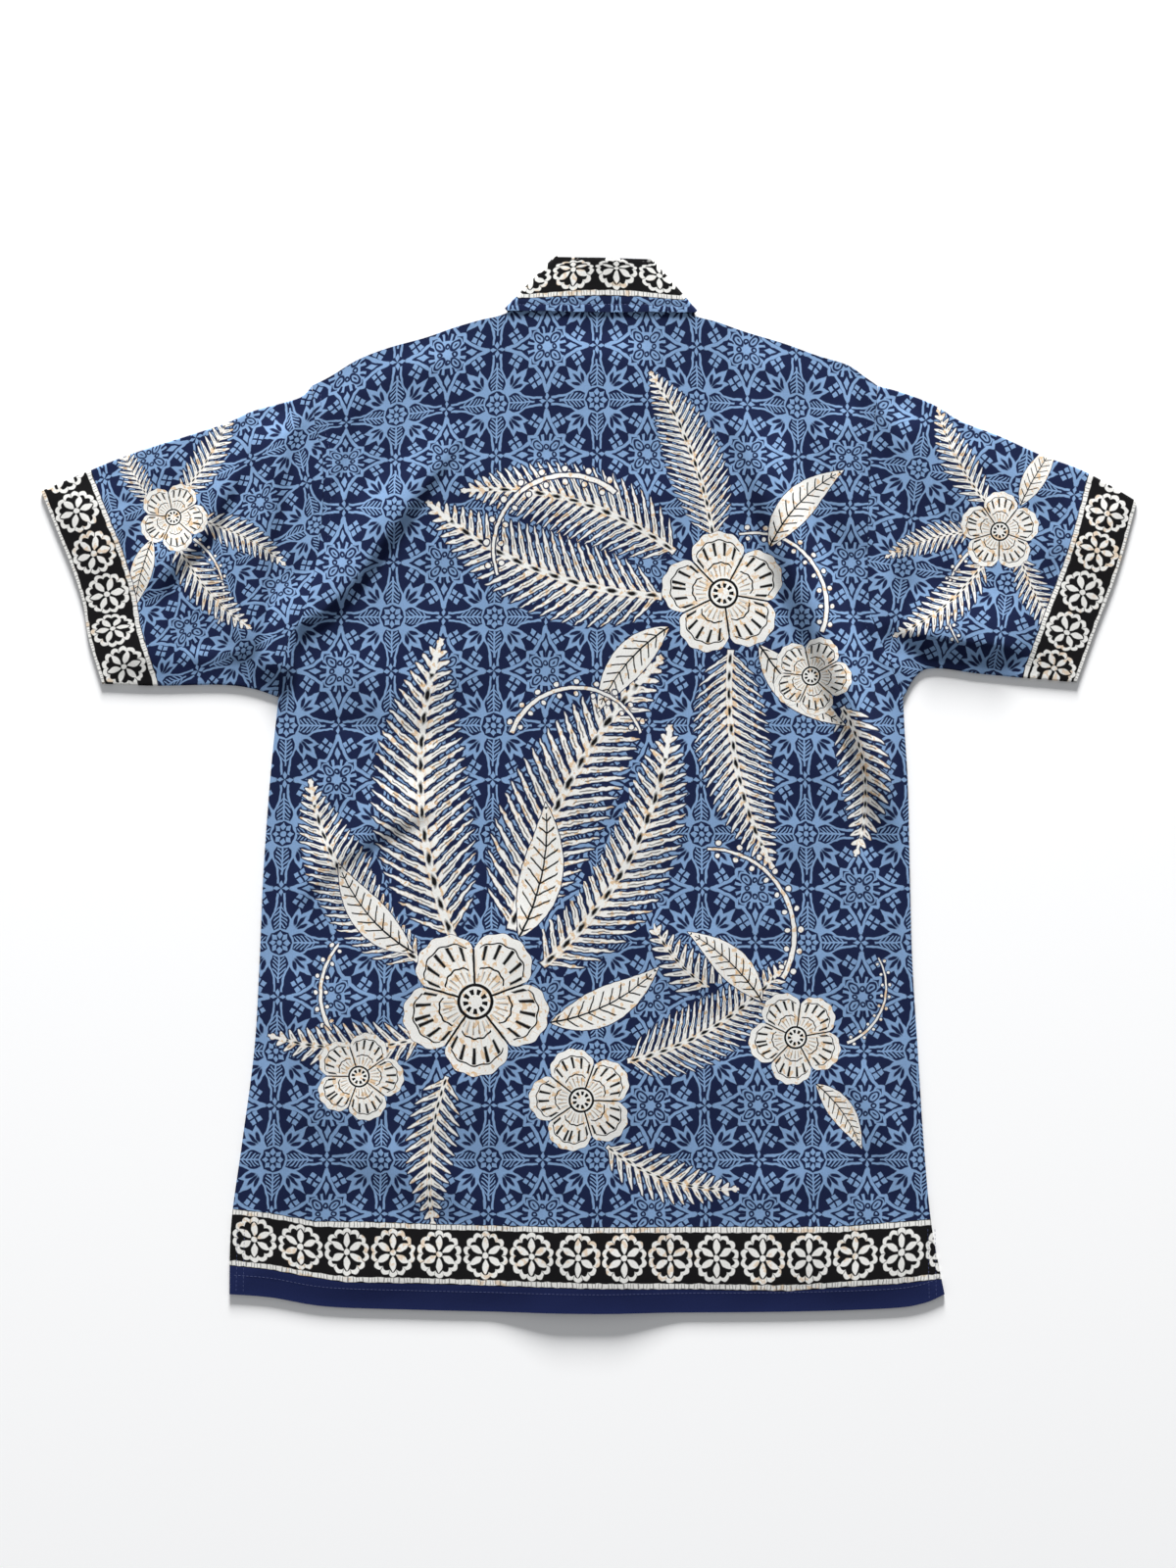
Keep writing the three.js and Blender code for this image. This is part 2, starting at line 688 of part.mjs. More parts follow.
function bendCollarRows(which) {
  const axis = bendAxis(which);
  const along = axis.tip.clone().sub(axis.fold).normalize();
  const standAlong = axis.neck.clone().sub(axis.fold).normalize();
  const turnOut = (v) => {
    const n = which === "left" ? flat(v.y, -v.x) : flat(-v.y, v.x);
    return new THREE.Vector3(n.x, n.y, 0);
  };
  const out = turnOut(along);
  const standOut = turnOut(standAlong);
  const rows = [];
  for (let k = 1; k < BEND_SECTIONS; k += 1) {
    const angle = (k / BEND_SECTIONS) * Math.PI;
    const spin = (o) => o.clone().multiplyScalar(Math.sin(angle)).addScaledVector(UP, -Math.cos(angle));
    const normal = spin(out);
    const put = (p, n, radius) => raised(p, BEND_Z).addScaledVector(n, radius);
    rows.push({
      fold: put(axis.fold, normal, FALL_BEND),
      tip: put(axis.tip, normal, FALL_BEND),
      neck: put(axis.neck, spin(standOut), STAND_BEND),
      normal,
      roll: ROLL_AT_SIDES,
    });
  }
  return rows;
}

function backCollarRows() {
  const [l, r] = [bendAxis("left"), bendAxis("right")];
  const tips = spaced(curveOf(BACK_FALL_EDGE), BACK_SECTIONS);
  const necks = moved(spaced(curveOf(BACK_NECK), BACK_SECTIONS), GAP + 0.05);
  const rows = [];
  for (let i = 0; i <= BACK_SECTIONS; i += 1) {
    const t = i / BACK_SECTIONS;
    const puff = Math.sin(Math.PI * t) ** 2;
    const roll = mix(ROLL_AT_SIDES, ROLL_AT_BACK, puff);
    const fold = l.fold.clone().lerp(r.fold, t);
    fold.y += (ROLL_AT_SIDES - roll) / 2;
    const tip = tips[i].clone();
    const blendLeft = clamp01(1 - t * 4);
    const blendRight = clamp01(t * 4 - 3);
    tip.addScaledVector(l.tip.clone().sub(tips[0]), blendLeft);
    tip.addScaledVector(r.tip.clone().sub(tips[BACK_SECTIONS]), blendRight);
    const neck = necks[i];
    if (i === 0) neck.copy(l.neck);
    if (i === BACK_SECTIONS) neck.copy(r.neck);
    rows.push({
      fold: raised(fold, FALL_BACK_Z + roll - ROLL_AT_SIDES),
      tip: raised(tip, FALL_BACK_Z),
      neck: raised(neck, STAND_BACK_Z),
      normal: UP.clone(),
      roll,
    });
  }
  return rows;
}

const collarRows = [
  ...frontCollarRows("left").reverse(),
  ...bendCollarRows("left"),
  ...backCollarRows(),
  ...bendCollarRows("right").reverse(),
  ...frontCollarRows("right"),
];

const FALL_STEPS = [0, 0.3, 0.6, 0.8, 0.92, 1];
const ROLL_STEPS = [0.2, 0.4, 0.6, 0.8, 1];
const STAND_STEPS = [0, 0.35, 0.7, 1];

function fallSection({ fold, tip, normal, roll }) {
  const along = tip.clone().sub(fold).setZ(0).normalize();
  const face = FALL_STEPS.map((t) => {
    const p = tip.clone().lerp(fold, t);
    p.z = mix(tip.z, fold.z, t * t);
    return p;
  });
  const turned = ROLL_STEPS.map((s) => {
    const angle = s * Math.PI;
    const p = fold.clone().addScaledVector(normal, (-roll / 2) * (1 - Math.cos(angle)));
    return p.addScaledVector(along, (-roll / 2) * Math.sin(angle));
  });
  return [...face, ...turned];
}

function standSection({ fold, tip, neck, normal, roll }) {
  const top = fold.clone().addScaledVector(normal, -roll);
  top.add(neck.clone().sub(top).setLength(GAP * 2.6));
  return STAND_STEPS.map((t) => top.clone().lerp(neck, t));
}

addPiece("collar_fall", clothWall(collarRows.map(fallSection)), BORDER);
addPiece("collar_stand", clothWall(collarRows.map(standSection)), BATIK);

// Buttons: discs with four holes, under the left front
const disc = new THREE.Shape();
disc.absarc(0, 0, BUTTON_RADIUS, 0, Math.PI * 2, false);
for (const [sx, sy] of [[-1, -1], [1, -1], [1, 1], [-1, 1]]) {
  const corners = Array.from({ length: 8 }, (_, k) => {
    const angle = (-k / 8) * Math.PI * 2;
    const x = sx * BUTTON_HOLE_OFFSET + BUTTON_HOLE_RADIUS * Math.cos(angle);
    return flat(x, sy * BUTTON_HOLE_OFFSET + BUTTON_HOLE_RADIUS * Math.sin(angle));
  });
  disc.holes.push(new THREE.Path(corners));
}
const discGeometry = new THREE.ExtrudeGeometry(disc, {
  depth: BUTTON_THICK,
  bevelEnabled: false,
  curveSegments: 10,
});
for (let i = 0; i < BUTTON_COUNT; i += 1) {
  const y = BUTTON_FIRST_Y - i * BUTTON_PITCH;
  const button = new THREE.Mesh(discGeometry, BUTTON);
  button.name = "button_" + (i + 1);
  button.position.set(-fromCentre(0, y), y, 0);
  shirt.add(button);
}

export default shirt;
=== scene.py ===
"""Short-sleeved batik shirt laid flat with its back up, dressed for rendering.

Run as a script in Blender 4.5. Tables and sizes are in millimetres, as the shirt
was measured; meshes are in metres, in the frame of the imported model.
"""

import math

import bmesh
import bpy
import numpy as np
from bpy.props import FloatProperty, FloatVectorProperty, PointerProperty
from bpy.types import Operator, Panel, PropertyGroup
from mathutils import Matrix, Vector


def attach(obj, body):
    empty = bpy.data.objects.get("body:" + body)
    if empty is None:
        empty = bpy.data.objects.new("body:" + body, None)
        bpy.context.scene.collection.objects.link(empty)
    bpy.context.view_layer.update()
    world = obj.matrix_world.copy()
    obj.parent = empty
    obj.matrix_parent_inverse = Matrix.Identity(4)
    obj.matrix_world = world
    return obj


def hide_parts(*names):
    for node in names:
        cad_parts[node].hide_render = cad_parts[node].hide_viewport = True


bl_info = {
    "name": "Batik Shirt",
    "version": (1, 0, 0),
    "blender": (4, 5, 0),
    "location": "View3D > Sidebar > Shirt",
    "description": "Builds the cloth, trim and stage of a short-sleeved batik shirt",
    "category": "Add Mesh",
}

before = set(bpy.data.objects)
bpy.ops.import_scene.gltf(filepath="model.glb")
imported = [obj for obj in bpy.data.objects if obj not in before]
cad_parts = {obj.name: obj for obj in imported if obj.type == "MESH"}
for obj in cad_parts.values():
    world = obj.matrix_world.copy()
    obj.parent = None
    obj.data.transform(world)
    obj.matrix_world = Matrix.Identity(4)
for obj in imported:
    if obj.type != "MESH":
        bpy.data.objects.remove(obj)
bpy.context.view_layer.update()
MM = 0.001

# Cloth and seams, as in the part's source
CLOTH = 1.2
GAP = 0.3
HALF = CLOTH / 2
STEP = CLOTH + GAP
BODY_AIR = 0.8
EDGE_ROUND = 26

# Front closing
OVERLAP = 15
CENTRE_TOP = (1.9, 308)
CENTRE_HEM = (-2.3, -407)
FRONT_HEM_INSET = 2.5
BUTTON_COUNT = 6
BUTTON_FIRST_Y = 270
BUTTON_PITCH = 109
BUTTON_RADIUS = 5.75
BUTTON_THICK = 2.0
BUTTON_LIFT = BUTTON_THICK + GAP
HOLE_OFFSET = 1.35
OVERLAP_SLACK = 0.15
# Where the layers rise over the buttons and the overlap: the first two by y, the others by
# the distance from the front's centre
BUTTON_ZONE = (308, 292)
BACK_RISE = (367, 326)
LEFT_FRONT_RISE = (-60, -12)
RIGHT_FRONT_FALL = (16, 62)
BACK_FALL = (18, 80)

# Collar
FALL_BEND = 2.25
STAND_BEND = 0.75
ROLL_AT_SIDES = 1.5
ROLL_AT_BACK = 3.6
STAND_BACK_Z = 2 * STEP + HALF
FALL_BACK_Z = 3 * STEP + HALF

# Side seams: y, left x, right x, from the hem up to the armpit
SIDES = (
    (-395, -278.6, 275.5), (-340, -277.2, 265.2), (-276, -268.6, 259.2), (-204, -259.2, 254.6),
    (-136, -255.2, 250.4), (-68, -252.3, 248.5), (0, -247.4, 247.0), (40, -243.5, 244.6),
    (67.5, -240.4, 243.2),
)
# Armhole seams: y, left x, right x, from the armpit up to the shoulder
ARMHOLES = (
    (67.5, -240.4, 243.2), (83, -239.2, 237.1), (114, -231.0, 225.0), (140, -218.0, 217.0),
    (197, -207.5, 215.8), (250, -206.0, 218.0), (280, -212.0, 221.2), (309, -214.4, 223.4),
)
# Shoulder seams: left x, y, right x, y, from the sleeve to the neck
SHOULDERS = (
    (-214.4, 309.0, 223.4, 309.0), (-199.9, 316.5, 212.8, 316.5), (-179.4, 329.0, 199.9, 325.2),
    (-155.8, 338.2, 176.3, 332.5), (-126.9, 346.2, 151.2, 341.6), (-104.9, 353.8, 120.8, 350.7),
    (-83.6, 359.9, 98.0, 358.6), (-71.4, 362.5, 87.4, 361.2), (-59.3, 367.1, 75.2, 365.2),
    (-45.6, 374.3, 57.0, 374.3),
)
# Hem edge of the back, left to right
HEM = (
    (-278.6, -395.0), (-246.6, -397.5), (-203.7, -404.5), (-137.6, -407.0), (-72.2, -408.5),
    (-0.8, -409.9), (57.0, -409.3), (154.3, -408.5), (231.8, -406.0), (259.2, -402.0),
    (275.5, -395.0),
)
BACK_NECK = ((-45.6, 374.3), (-19.8, 372.4), (4.6, 371.8), (30.0, 372.4), (57.0, 374.3))
# Neck seams of the fronts: left x, y, right x, y, from the shoulder to the front edge
FRONT_NECKS = (
    (-45.6, 374.3, 57.0, 374.3), (-39.5, 353.8, 50.9, 353.8), (-28.9, 333.3, 38.8, 333.3),
    (-13.7, 318.1, 23.6, 318.1), (16.9, 310.5, -13.1, 310.5),
)
# Sleeves: upper fold, underarm seam and cuff
SLEEVE_TOPS = (
    (-214.4, 309.0, 223.4, 309.0), (-222.7, 300.6, 240.2, 304.6), (-239.4, 295.3, 266.0, 294.9),
    (-261.4, 289.2, 288.0, 281.6), (-285.8, 278.5, 317.7, 270.2), (-351.9, 257.3, 350.4, 255.4),
    (-388.4, 242.8, 385.3, 242.1), (-424.6, 227.6, 424.4, 219.6),
)
SLEEVE_UNDERS = (
    (-240.4, 67.5, 243.2, 67.5), (-260.7, 74.1, 260.5, 89.0), (-285.8, 77.1, 304.0, 85.5),
    (-336.7, 76.4, 335.9, 82.5), (-377.0, 77.9, 377.7, 79.0),
)
CUFFS = (
    (-424.6, 227.6, 424.4, 219.6), (-411.2, 194.2, 414.6, 182.8), (-400.5, 167.6, 406.2, 156.2),
    (-392.2, 141.0, 393.0, 122.0), (-387.6, 112.9, 383.0, 94.0), (-377.0, 77.9, 377.7, 79.0),
)
# Collar, as the flat outline of its turned strip
BACK_FOLD = ((-25.8, 410.6), (47.9, 408.8))
BACK_FALL_EDGE = ((-65.4, 369.0), (-31.2, 366.8), (4.6, 365.8), (44.8, 366.0), (84.0, 367.4))
FRONT_FOLDS = (
    (-25.8, 410.6, 47.9, 408.8), (-18.2, 372.8, 31.2, 372.8),
    (-9.9, 346.2, 22.0, 346.2), (-0.8, 333.3, 12.9, 333.3),
)
FRONT_LEAF_EDGES = (
    (-65.4, 369.0, 84.0, 367.4), (-67.6, 334.8, 84.4, 333.3), (-50.2, 274.0, 63.1, 274.0),
)
COLLAR_ZONE = (
    (-65, 369), (-26, 410), (48, 408), (84, 367), (84, 333), (63, 274), (-50, 274), (-68, 335),
)
ZONE_FLAT = 14
ZONE_FALL = 36

# Main folds: height, half widths to the left and the right as the crest runs, crest
FOLDS = (
    (5.2, 11, 36, (
        (-92, 286), (-118, 248), (-155, 198), (-185, 157), (-207, 135), (-230, 118),
        (-236, 60), (-236, 0), (-232, -60),
    )),
    (8.0, 30, 22, (
        (112, 304), (130, 262), (146, 212), (161, 165), (180, 122), (199, 78), (216, 30),
        (232, -20), (240, -70),
    )),
    (4.6, 12, 36, ((-226, 296), (-236, 252), (-246, 205), (-254, 160), (-258, 112), (-260, 92))),
    (3.6, 10, 28, ((-262, 262), (-284, 222), (-300, 192), (-320, 172), (-342, 140))),
    (5.0, 46, 13, ((240, 122), (262, 116), (285, 111), (310, 109), (345, 100))),
    (2.7, 13, 36, ((-112, -14), (-150, -30), (-184, -50), (-212, -76), (-250, -124))),
    (2.6, 20, 12, ((238, 300), (243, 250), (240, 205), (240, 150))),
    (2.4, 26, 12, ((196, 296), (192, 262), (196, 220), (206, 176))),
    (2.7, 215, 140, ((-420, -186), (-250, -194), (-90, -204), (20, -208), (120, -214))),
)
# Creases: height (a trough is below zero), half width, path
CREASES = (
    (-2.4, 9, ((-214, 292), (-226, 266), (-235, 232), (-242, 192), (-248, 150), (-247, 96))),
    (-2.6, 12, ((200, 318), (215, 288), (223, 255), (228, 220), (229, 180), (236, 140))),
    (-2.2, 13, ((278, 98), (256, 102), (238, 108), (220, 122))),
    (-1.4, 6, ((-174, 304), (-183, 262), (-191, 236), (-206, 200))),
    (-1.2, 7, ((168, 282), (178, 248), (181, 210), (178, 166))),
    (-2.0, 11, ((184, 74), (202, 16), (216, -34), (230, -82))),
    (1.6, 9, ((196, 92), (208, 58), (228, 4), (245, -56), (251, -100))),
    (-0.9, 9, ((-270, 235), (-290, 190), (-315, 165), (-340, 116))),
    (-0.6, 11, ((-222, 48), (-150, 41), (-74, 30))),
    (-0.8, 8, ((368, 186), (357, 152), (349, 122))),
    (1.1, 24, ((-214, -262), (-150, -296), (-104, -318), (-40, -334))),
    (0.8, 22, ((-84, -292), (-18, -318), (60, -322))),
    (1.5, 18, ((196, -206), (220, -256), (244, -300), (256, -336))),
    (0.7, 24, ((70, -330), (142, -306), (214, -318))),
    (0.7, 26, ((-270, -150), (-214, -176), (-140, -166))),
    (0.6, 24, ((-268, -226), (-206, -252), (-130, -236))),
    (0.6, 24, ((-226, 6), (-160, -14), (-84, 2))),
    (0.5, 26, ((-220, 96), (-150, 82), (-70, 100))),
    (0.6, 28, ((40, -96), (96, -138), (176, -150))),
    (0.6, 20, ((-60, 300), (-30, 250), (-38, 190))),
    (0.6, 20, ((30, 110), (52, 40), (44, -40))),
    (0.9, 10, ((300, 232), (318, 202), (326, 168))),
    (-0.7, 8, ((276, 214), (290, 186), (296, 158))),
    (0.9, 11, ((-352, 222), (-372, 186), (-376, 150))),
    (0.8, 11, ((366, 232), (380, 196), (378, 160))),
    (0.7, 8, ((-262, 104), (-292, 98), (-322, 99))),
)
# Swells of the loose cloth: length, direction in radians, phase
SWELLS = (
    (170, 0.4, 0.3), (120, 1.7, 2.1), (96, 2.6, 4.0), (61, 0.9, 1.2), (47, 2.2, 5.1),
)
SWELL_BEND = 14
SWELL_BEND_LENGTH = 67
# About twice the sum of the swells' weights
SWELL_RANGE = 5.2


# Curves and distances in the plane

def rows_of(table):
    """The left and right points of a table whose rows hold both sides."""
    a = np.array(table, float)
    if a.shape[1] == 3:
        return {"left": a[:, [1, 0]], "right": a[:, [2, 0]]}
    return {"left": a[:, :2], "right": a[:, 2:]}


def smooth(t):
    """An even start and end between 0 and 1."""
    t = np.clip(t, 0, 1)
    return t * t * (3 - 2 * t)


def ramp(start, end, v):
    """From 0 at the start to 1 at the end, softly."""
    return smooth((v - start) / (end - start))


def spline(points, steps=30):
    """A smooth curve through the points, sampled finely."""
    p = np.array(points, float)
    before = np.vstack([p[:1], p[:-2]])
    after = np.vstack([p[2:], p[-1:]])
    slope_in = (p[1:] - before) / 2
    slope_out = (after - p[:-1]) / 2
    t = np.linspace(0, 1, steps, endpoint=False)[None, :, None]
    a, b = p[:-1, None, :], p[1:, None, :]
    va, vb = slope_in[:, None, :], slope_out[:, None, :]
    curve = (2 * a - 2 * b + va + vb) * t**3 + (3 * b - 3 * a - 2 * va - vb) * t**2 + va * t + a
    return np.vstack([curve.reshape(-1, p.shape[1]), p[-1:]])


def arc(points):
    """The length along a polyline at each of its points."""
    return np.concatenate([[0], np.cumsum(np.linalg.norm(np.diff(points, axis=0), axis=1))])


def resample(points, count):
    """The polyline in this many equal steps."""
    s = arc(points)
    at = np.linspace(0, s[-1], count + 1)
    return np.stack([np.interp(at, s, points[:, k]) for k in range(points.shape[1])], axis=1)


def spaced(points, count):
    """A smooth curve through the points, in equal steps."""
    return resample(spline(points), count)


def moved(points, by):
    """The same row of points moved sideways, to the left of its direction."""
    along = np.vstack([points[1:], points[-1:]]) - np.vstack([points[:1], points[:-1]])
    along /= np.linalg.norm(along, axis=1)[:, None]
    return points + by * np.stack([-along[:, 1], along[:, 0]], axis=1)


def path_distance(p, path, closed=False):
    """Distance from each point to a path, where along it (0 to 1) and on which side."""
    path = np.array(path, float)
    ends = np.roll(path, -1, axis=0) if closed else path[1:]
    starts = path if closed else path[:-1]
    best = np.full(p.shape[:-1], 1e9)
    along = np.zeros_like(best)
    side = np.ones_like(best)
    for i, (a, b) in enumerate(zip(starts, ends)):
        ab = b - a
        t = np.clip(((p - a) @ ab) / (ab @ ab), 0, 1)
        off = p - (a + t[..., None] * ab)
        d = np.linalg.norm(off, axis=-1)
        near = d < best
        best = np.where(near, d, best)
        along = np.where(near, (i + t) / len(starts), along)
        side = np.where(near, np.sign(ab[0] * off[..., 1] - ab[1] * off[..., 0] + 1e-12), side)
    return best, along, side


def inside_polygon(p, corners):
    """Whether each point lies inside the corners."""
    corners = np.array(corners, float)
    inside = np.zeros(p.shape[:-1], bool)
    for a, b in zip(corners, np.roll(corners, 1, axis=0)):
        if a[1] == b[1]:
            continue
        crosses = (a[1] > p[..., 1]) != (b[1] > p[..., 1])
        edge_x = (b[0] - a[0]) * (p[..., 1] - a[1]) / (b[1] - a[1]) + a[0]
        inside ^= crosses & (p[..., 0] < edge_x)
    return inside


def patch(bottom, top, left, right):
    """A grid of points inside four edges (a Coons patch)."""
    u = np.linspace(0, 1, len(bottom))[None, :, None]
    v = np.linspace(0, 1, len(left))[:, None, None]
    across = left[:, None] * (1 - u) + right[:, None] * u
    upward = bottom[None] * (1 - v) + top[None] * v
    low = bottom[0] * (1 - u) + bottom[-1] * u
    high = top[0] * (1 - u) + top[-1] * u
    return across + upward - (low * (1 - v) + high * v)


side_rows, armhole_rows = rows_of(SIDES), rows_of(ARMHOLES)
shoulder_rows, neck_rows = rows_of(SHOULDERS), rows_of(FRONT_NECKS)
sleeve_top_rows, sleeve_under_rows = rows_of(SLEEVE_TOPS), rows_of(SLEEVE_UNDERS)
cuff_rows = rows_of(CUFFS)
hem_line = spline(HEM)
ARMHOLES_LEFT, ARMHOLES_RIGHT = armhole_rows["left"], armhole_rows["right"]

OUTLINE = np.vstack([
    spaced(HEM, 30),
    spaced(side_rows["right"], 16),
    spaced(sleeve_under_rows["right"], 12),
    spaced(cuff_rows["right"], 12)[::-1],
    spaced(sleeve_top_rows["right"], 20)[::-1],
    spaced(shoulder_rows["right"], 10),
    spaced(shoulder_rows["left"], 10)[::-1],
    spaced(sleeve_top_rows["left"], 20),
    spaced(cuff_rows["left"], 12),
    spaced(sleeve_under_rows["left"], 12)[::-1],
    spaced(side_rows["left"], 16)[::-1],
])
distinct = np.linalg.norm(OUTLINE - np.roll(OUTLINE, -1, axis=0), axis=1) > 1e-6
OUTLINE = OUTLINE[distinct]


# Heights of the layers, each the underside of its cloth

def collar_zone(p, fall=ZONE_FALL):
    """1 under and over the collar, falling to 0 beside it."""
    away = path_distance(p, COLLAR_ZONE, True)[0]
    return np.where(inside_polygon(p, COLLAR_ZONE), 1, 1 - ramp(ZONE_FLAT, ZONE_FLAT + fall, away))


def from_centre(x, y):
    """Distance to the right of the front's centre line."""
    t = (y - CENTRE_TOP[1]) / (CENTRE_HEM[1] - CENTRE_TOP[1])
    return x - (CENTRE_TOP[0] + (CENTRE_HEM[0] - CENTRE_TOP[0]) * t)


def button_zone(y):
    """1 along the buttons, 0 above them."""
    return ramp(*BUTTON_ZONE, y)


def left_front_lift(p):
    """Height of the left front, which lies on the surface and rises over the buttons."""
    x, y = p[..., 0], p[..., 1]
    placket = ramp(*LEFT_FRONT_RISE, from_centre(x, y)) * button_zone(y)
    return np.maximum(STEP * collar_zone(p), BUTTON_LIFT * placket)


def right_front_lift(p):
    """Height of the right front, which steps up over the left one and the buttons."""
    x, y = p[..., 0], p[..., 1]
    over = 1 - ramp(*RIGHT_FRONT_FALL, from_centre(x, y))
    zone = button_zone(y)
    stack = STEP * 2 * (1 - zone) + (BUTTON_LIFT + STEP) * zone
    return np.maximum(STEP * collar_zone(p), over * (stack + OVERLAP_SLACK))


def waves(p):
    """Slow uneven swells of loose cloth, from about 0 to about 1."""
    x, y = p[..., 0], p[..., 1]
    total = np.zeros_like(x)
    for k, (length, turn, phase) in enumerate(SWELLS):
        run = x * math.cos(turn) + y * math.sin(turn)
        cross = y * math.cos(turn) - x * math.sin(turn)
        bent = run + SWELL_BEND * np.sin(cross / SWELL_BEND_LENGTH + phase * 2)
        total += np.sin(bent * 2 * math.pi / length + phase) / (1 + 0.6 * k)
    return 0.5 + total / SWELL_RANGE


def ridge(away, reach, along, starts, ends):
    """A rounded ridge, from 0 to 1, that starts and ends softly along its path."""
    soft = np.clip(1 - (away / reach) ** 2, 0, 1) ** 2
    return soft * ramp(0, starts, along) * ramp(1, ends, along)


def fold_height(p):
    """The main folds with their finer creases."""
    total = np.zeros(p.shape[:-1])
    for height, left, right, crest in FOLDS:
        away, along, side = path_distance(p, spline(crest, 8))
        width = np.where(side > 0, left, right)
        total = np.maximum(total, height * ridge(away, width, along, 0.25, 0.75))
    for height, width, crest in CREASES:
        away, along, _ = path_distance(p, spline(crest, 8))
        reach = width * (0.7 + 0.5 * np.sin(along * math.pi))
        total = total + height * ridge(away, reach, along, 0.3, 0.6)
    return total


def back_lift(p, props):
    """Height of the back, and of the sleeves' upper layer, with the folds as set."""
    x, y = p[..., 0], p[..., 1]
    zone = collar_zone(p)
    centre = 1 - ramp(*BACK_FALL, np.abs(from_centre(x, y)))
    bump = centre * ramp(*BACK_RISE, y)
    base = STEP + np.maximum(STEP * zone, (BUTTON_LIFT + STEP + OVERLAP_SLACK) * bump)
    inside = ramp(0, EDGE_ROUND, path_distance(p, OUTLINE, True)[0])
    loose = inside * (1 - zone)
    # The cloth is drawn flatter over the buttons
    folds = props.fold * fold_height(p) * (1 - 0.6 * bump)
    lift = BODY_AIR * (1 - bump) + folds + props.swell / MM * waves(p)
    return base + np.maximum(loose * lift, 0)


# Cloth meshes

def deselect():
    if bpy.context.object and bpy.context.object.mode != "OBJECT":
        bpy.ops.object.mode_set(mode="OBJECT")
    bpy.ops.object.select_all(action="DESELECT")


def apply_modifier(obj, kind, **settings):
    bpy.context.view_layer.objects.active = obj
    modifier = obj.modifiers.new(kind.title(), kind)
    for key, value in settings.items():
        setattr(modifier, key, value)
    bpy.ops.object.modifier_apply(modifier=modifier.name)


def cloth_sheet(name, middle, thickness, maps, closed=False):
    """A sheet of cloth about a grid of middle points in millimetres.

    maps holds, for each UV map, values at the grid's points, or for a motif chart
    a list of (values at the points, faces they hold for), with zero on other faces.
    """
    rows, columns = middle.shape[:2]
    if closed:
        middle = np.concatenate([middle, middle[:, :1]], axis=1)
        columns += 1
    deselect()
    bpy.ops.mesh.primitive_grid_add(
        x_subdivisions=columns - 1, y_subdivisions=rows - 1, size=2, calc_uvs=False
    )
    obj = bpy.context.object
    obj.name = obj.data.name = name
    mesh = obj.data
    co = np.empty(len(mesh.vertices) * 3)
    mesh.vertices.foreach_get("co", co)
    co = co.reshape(-1, 3)
    j = np.rint((co[:, 0] + 1) / 2 * (columns - 1)).astype(int)
    i = np.rint((co[:, 1] + 1) / 2 * (rows - 1)).astype(int)
    mesh.vertices.foreach_set("co", (middle[i, j] * MM).ravel())
    corner = np.empty(len(mesh.loops), int)
    mesh.loops.foreach_get("vertex_index", corner)
    ci, cj = i[corner], j[corner]
    for map_name, values in maps.items():
        layer = mesh.uv_layers.new(name=map_name)
        if isinstance(values, list):
            uv = np.zeros((len(corner), 2))
            face_i = ci.reshape(-1, 4).min(axis=1)
            face_j = cj.reshape(-1, 4).min(axis=1)
            for chart, faces in values:
                held = np.repeat(faces[face_i, face_j % faces.shape[1]], 4)
                uv[held] = chart[ci[held], cj[held] % chart.shape[1]]
        else:
            uv = values[ci, cj % values.shape[1]]
        layer.data.foreach_set("uv", uv.ravel())
    mesh.update()
    if closed:
        bpy.ops.object.mode_set(mode="EDIT")
        bpy.ops.mesh.select_all(action="SELECT")
        bpy.ops.mesh.remove_doubles(threshold=1e-7)
        bpy.ops.object.mode_set(mode="OBJECT")
    apply_modifier(obj, "SOLIDIFY", thickness=thickness, offset=0, use_quality_normals=True)
    bpy.ops.object.shade_smooth_by_angle(angle=math.radians(50))
    return obj


def raised(grid, z):
    """Plane points with a height."""
    return np.concatenate([grid, z[..., None]], axis=-1)


def dress(obj, node, material):
    """Puts the piece in its node's place."""
    obj.data.materials.clear()
    obj.data.materials.append(material)
    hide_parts(node)
    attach(obj, "root")


# A stitch lies flatter than it is wide
STITCH_FLATNESS = 0.8


def stitches(context, name, rows, width=0.42, length=None, pitch=None):
    """Rows of stitches along paths of millimetre points, as one piece."""
    length = length or context.scene.shirt_trim.stitch / MM
    pitch = pitch or length * 1.3
    deselect()
    bpy.ops.mesh.primitive_uv_sphere_add(segments=6, ring_count=4, radius=0.5)
    obj = context.object
    obj.name = name
    shape = np.array([v.co[:] for v in obj.data.vertices])[:, [2, 0, 1]]
    faces = [list(f.vertices) for f in obj.data.polygons]
    points, polygons = [], []
    for row in rows:
        row = np.asarray(row, float)
        count = max(2, int(arc(row)[-1] / pitch))
        line = resample(row, count)
        along = np.diff(line, axis=0)
        along /= np.linalg.norm(along, axis=1)[:, None]
        centres = (line[1:] + line[:-1]) / 2
        up = np.broadcast_to((0.0, 0.0, 1.0), along.shape)
        across = np.cross(up, along)
        across /= np.linalg.norm(across, axis=1)[:, None] + 1e-9
        up = np.cross(along, across)
        for c, a, b, n in zip(centres, along, across, up):
            start = len(points) * len(shape)
            middle = c + shape[:, :1] * a * length + shape[:, 1:2] * b * width
            points.append(middle + shape[:, 2:] * n * width * STITCH_FLATNESS)
            polygons += [[start + k for k in f] for f in faces]
    mesh = bpy.data.meshes.new(name)
    mesh.from_pydata((np.concatenate(points) * MM).tolist(), [], polygons)
    spare, obj.data = obj.data, mesh
    bpy.data.meshes.remove(spare)
    bpy.ops.object.shade_smooth()
    mesh.materials.append(thread_material(context))
    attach(obj, "root")
    return obj


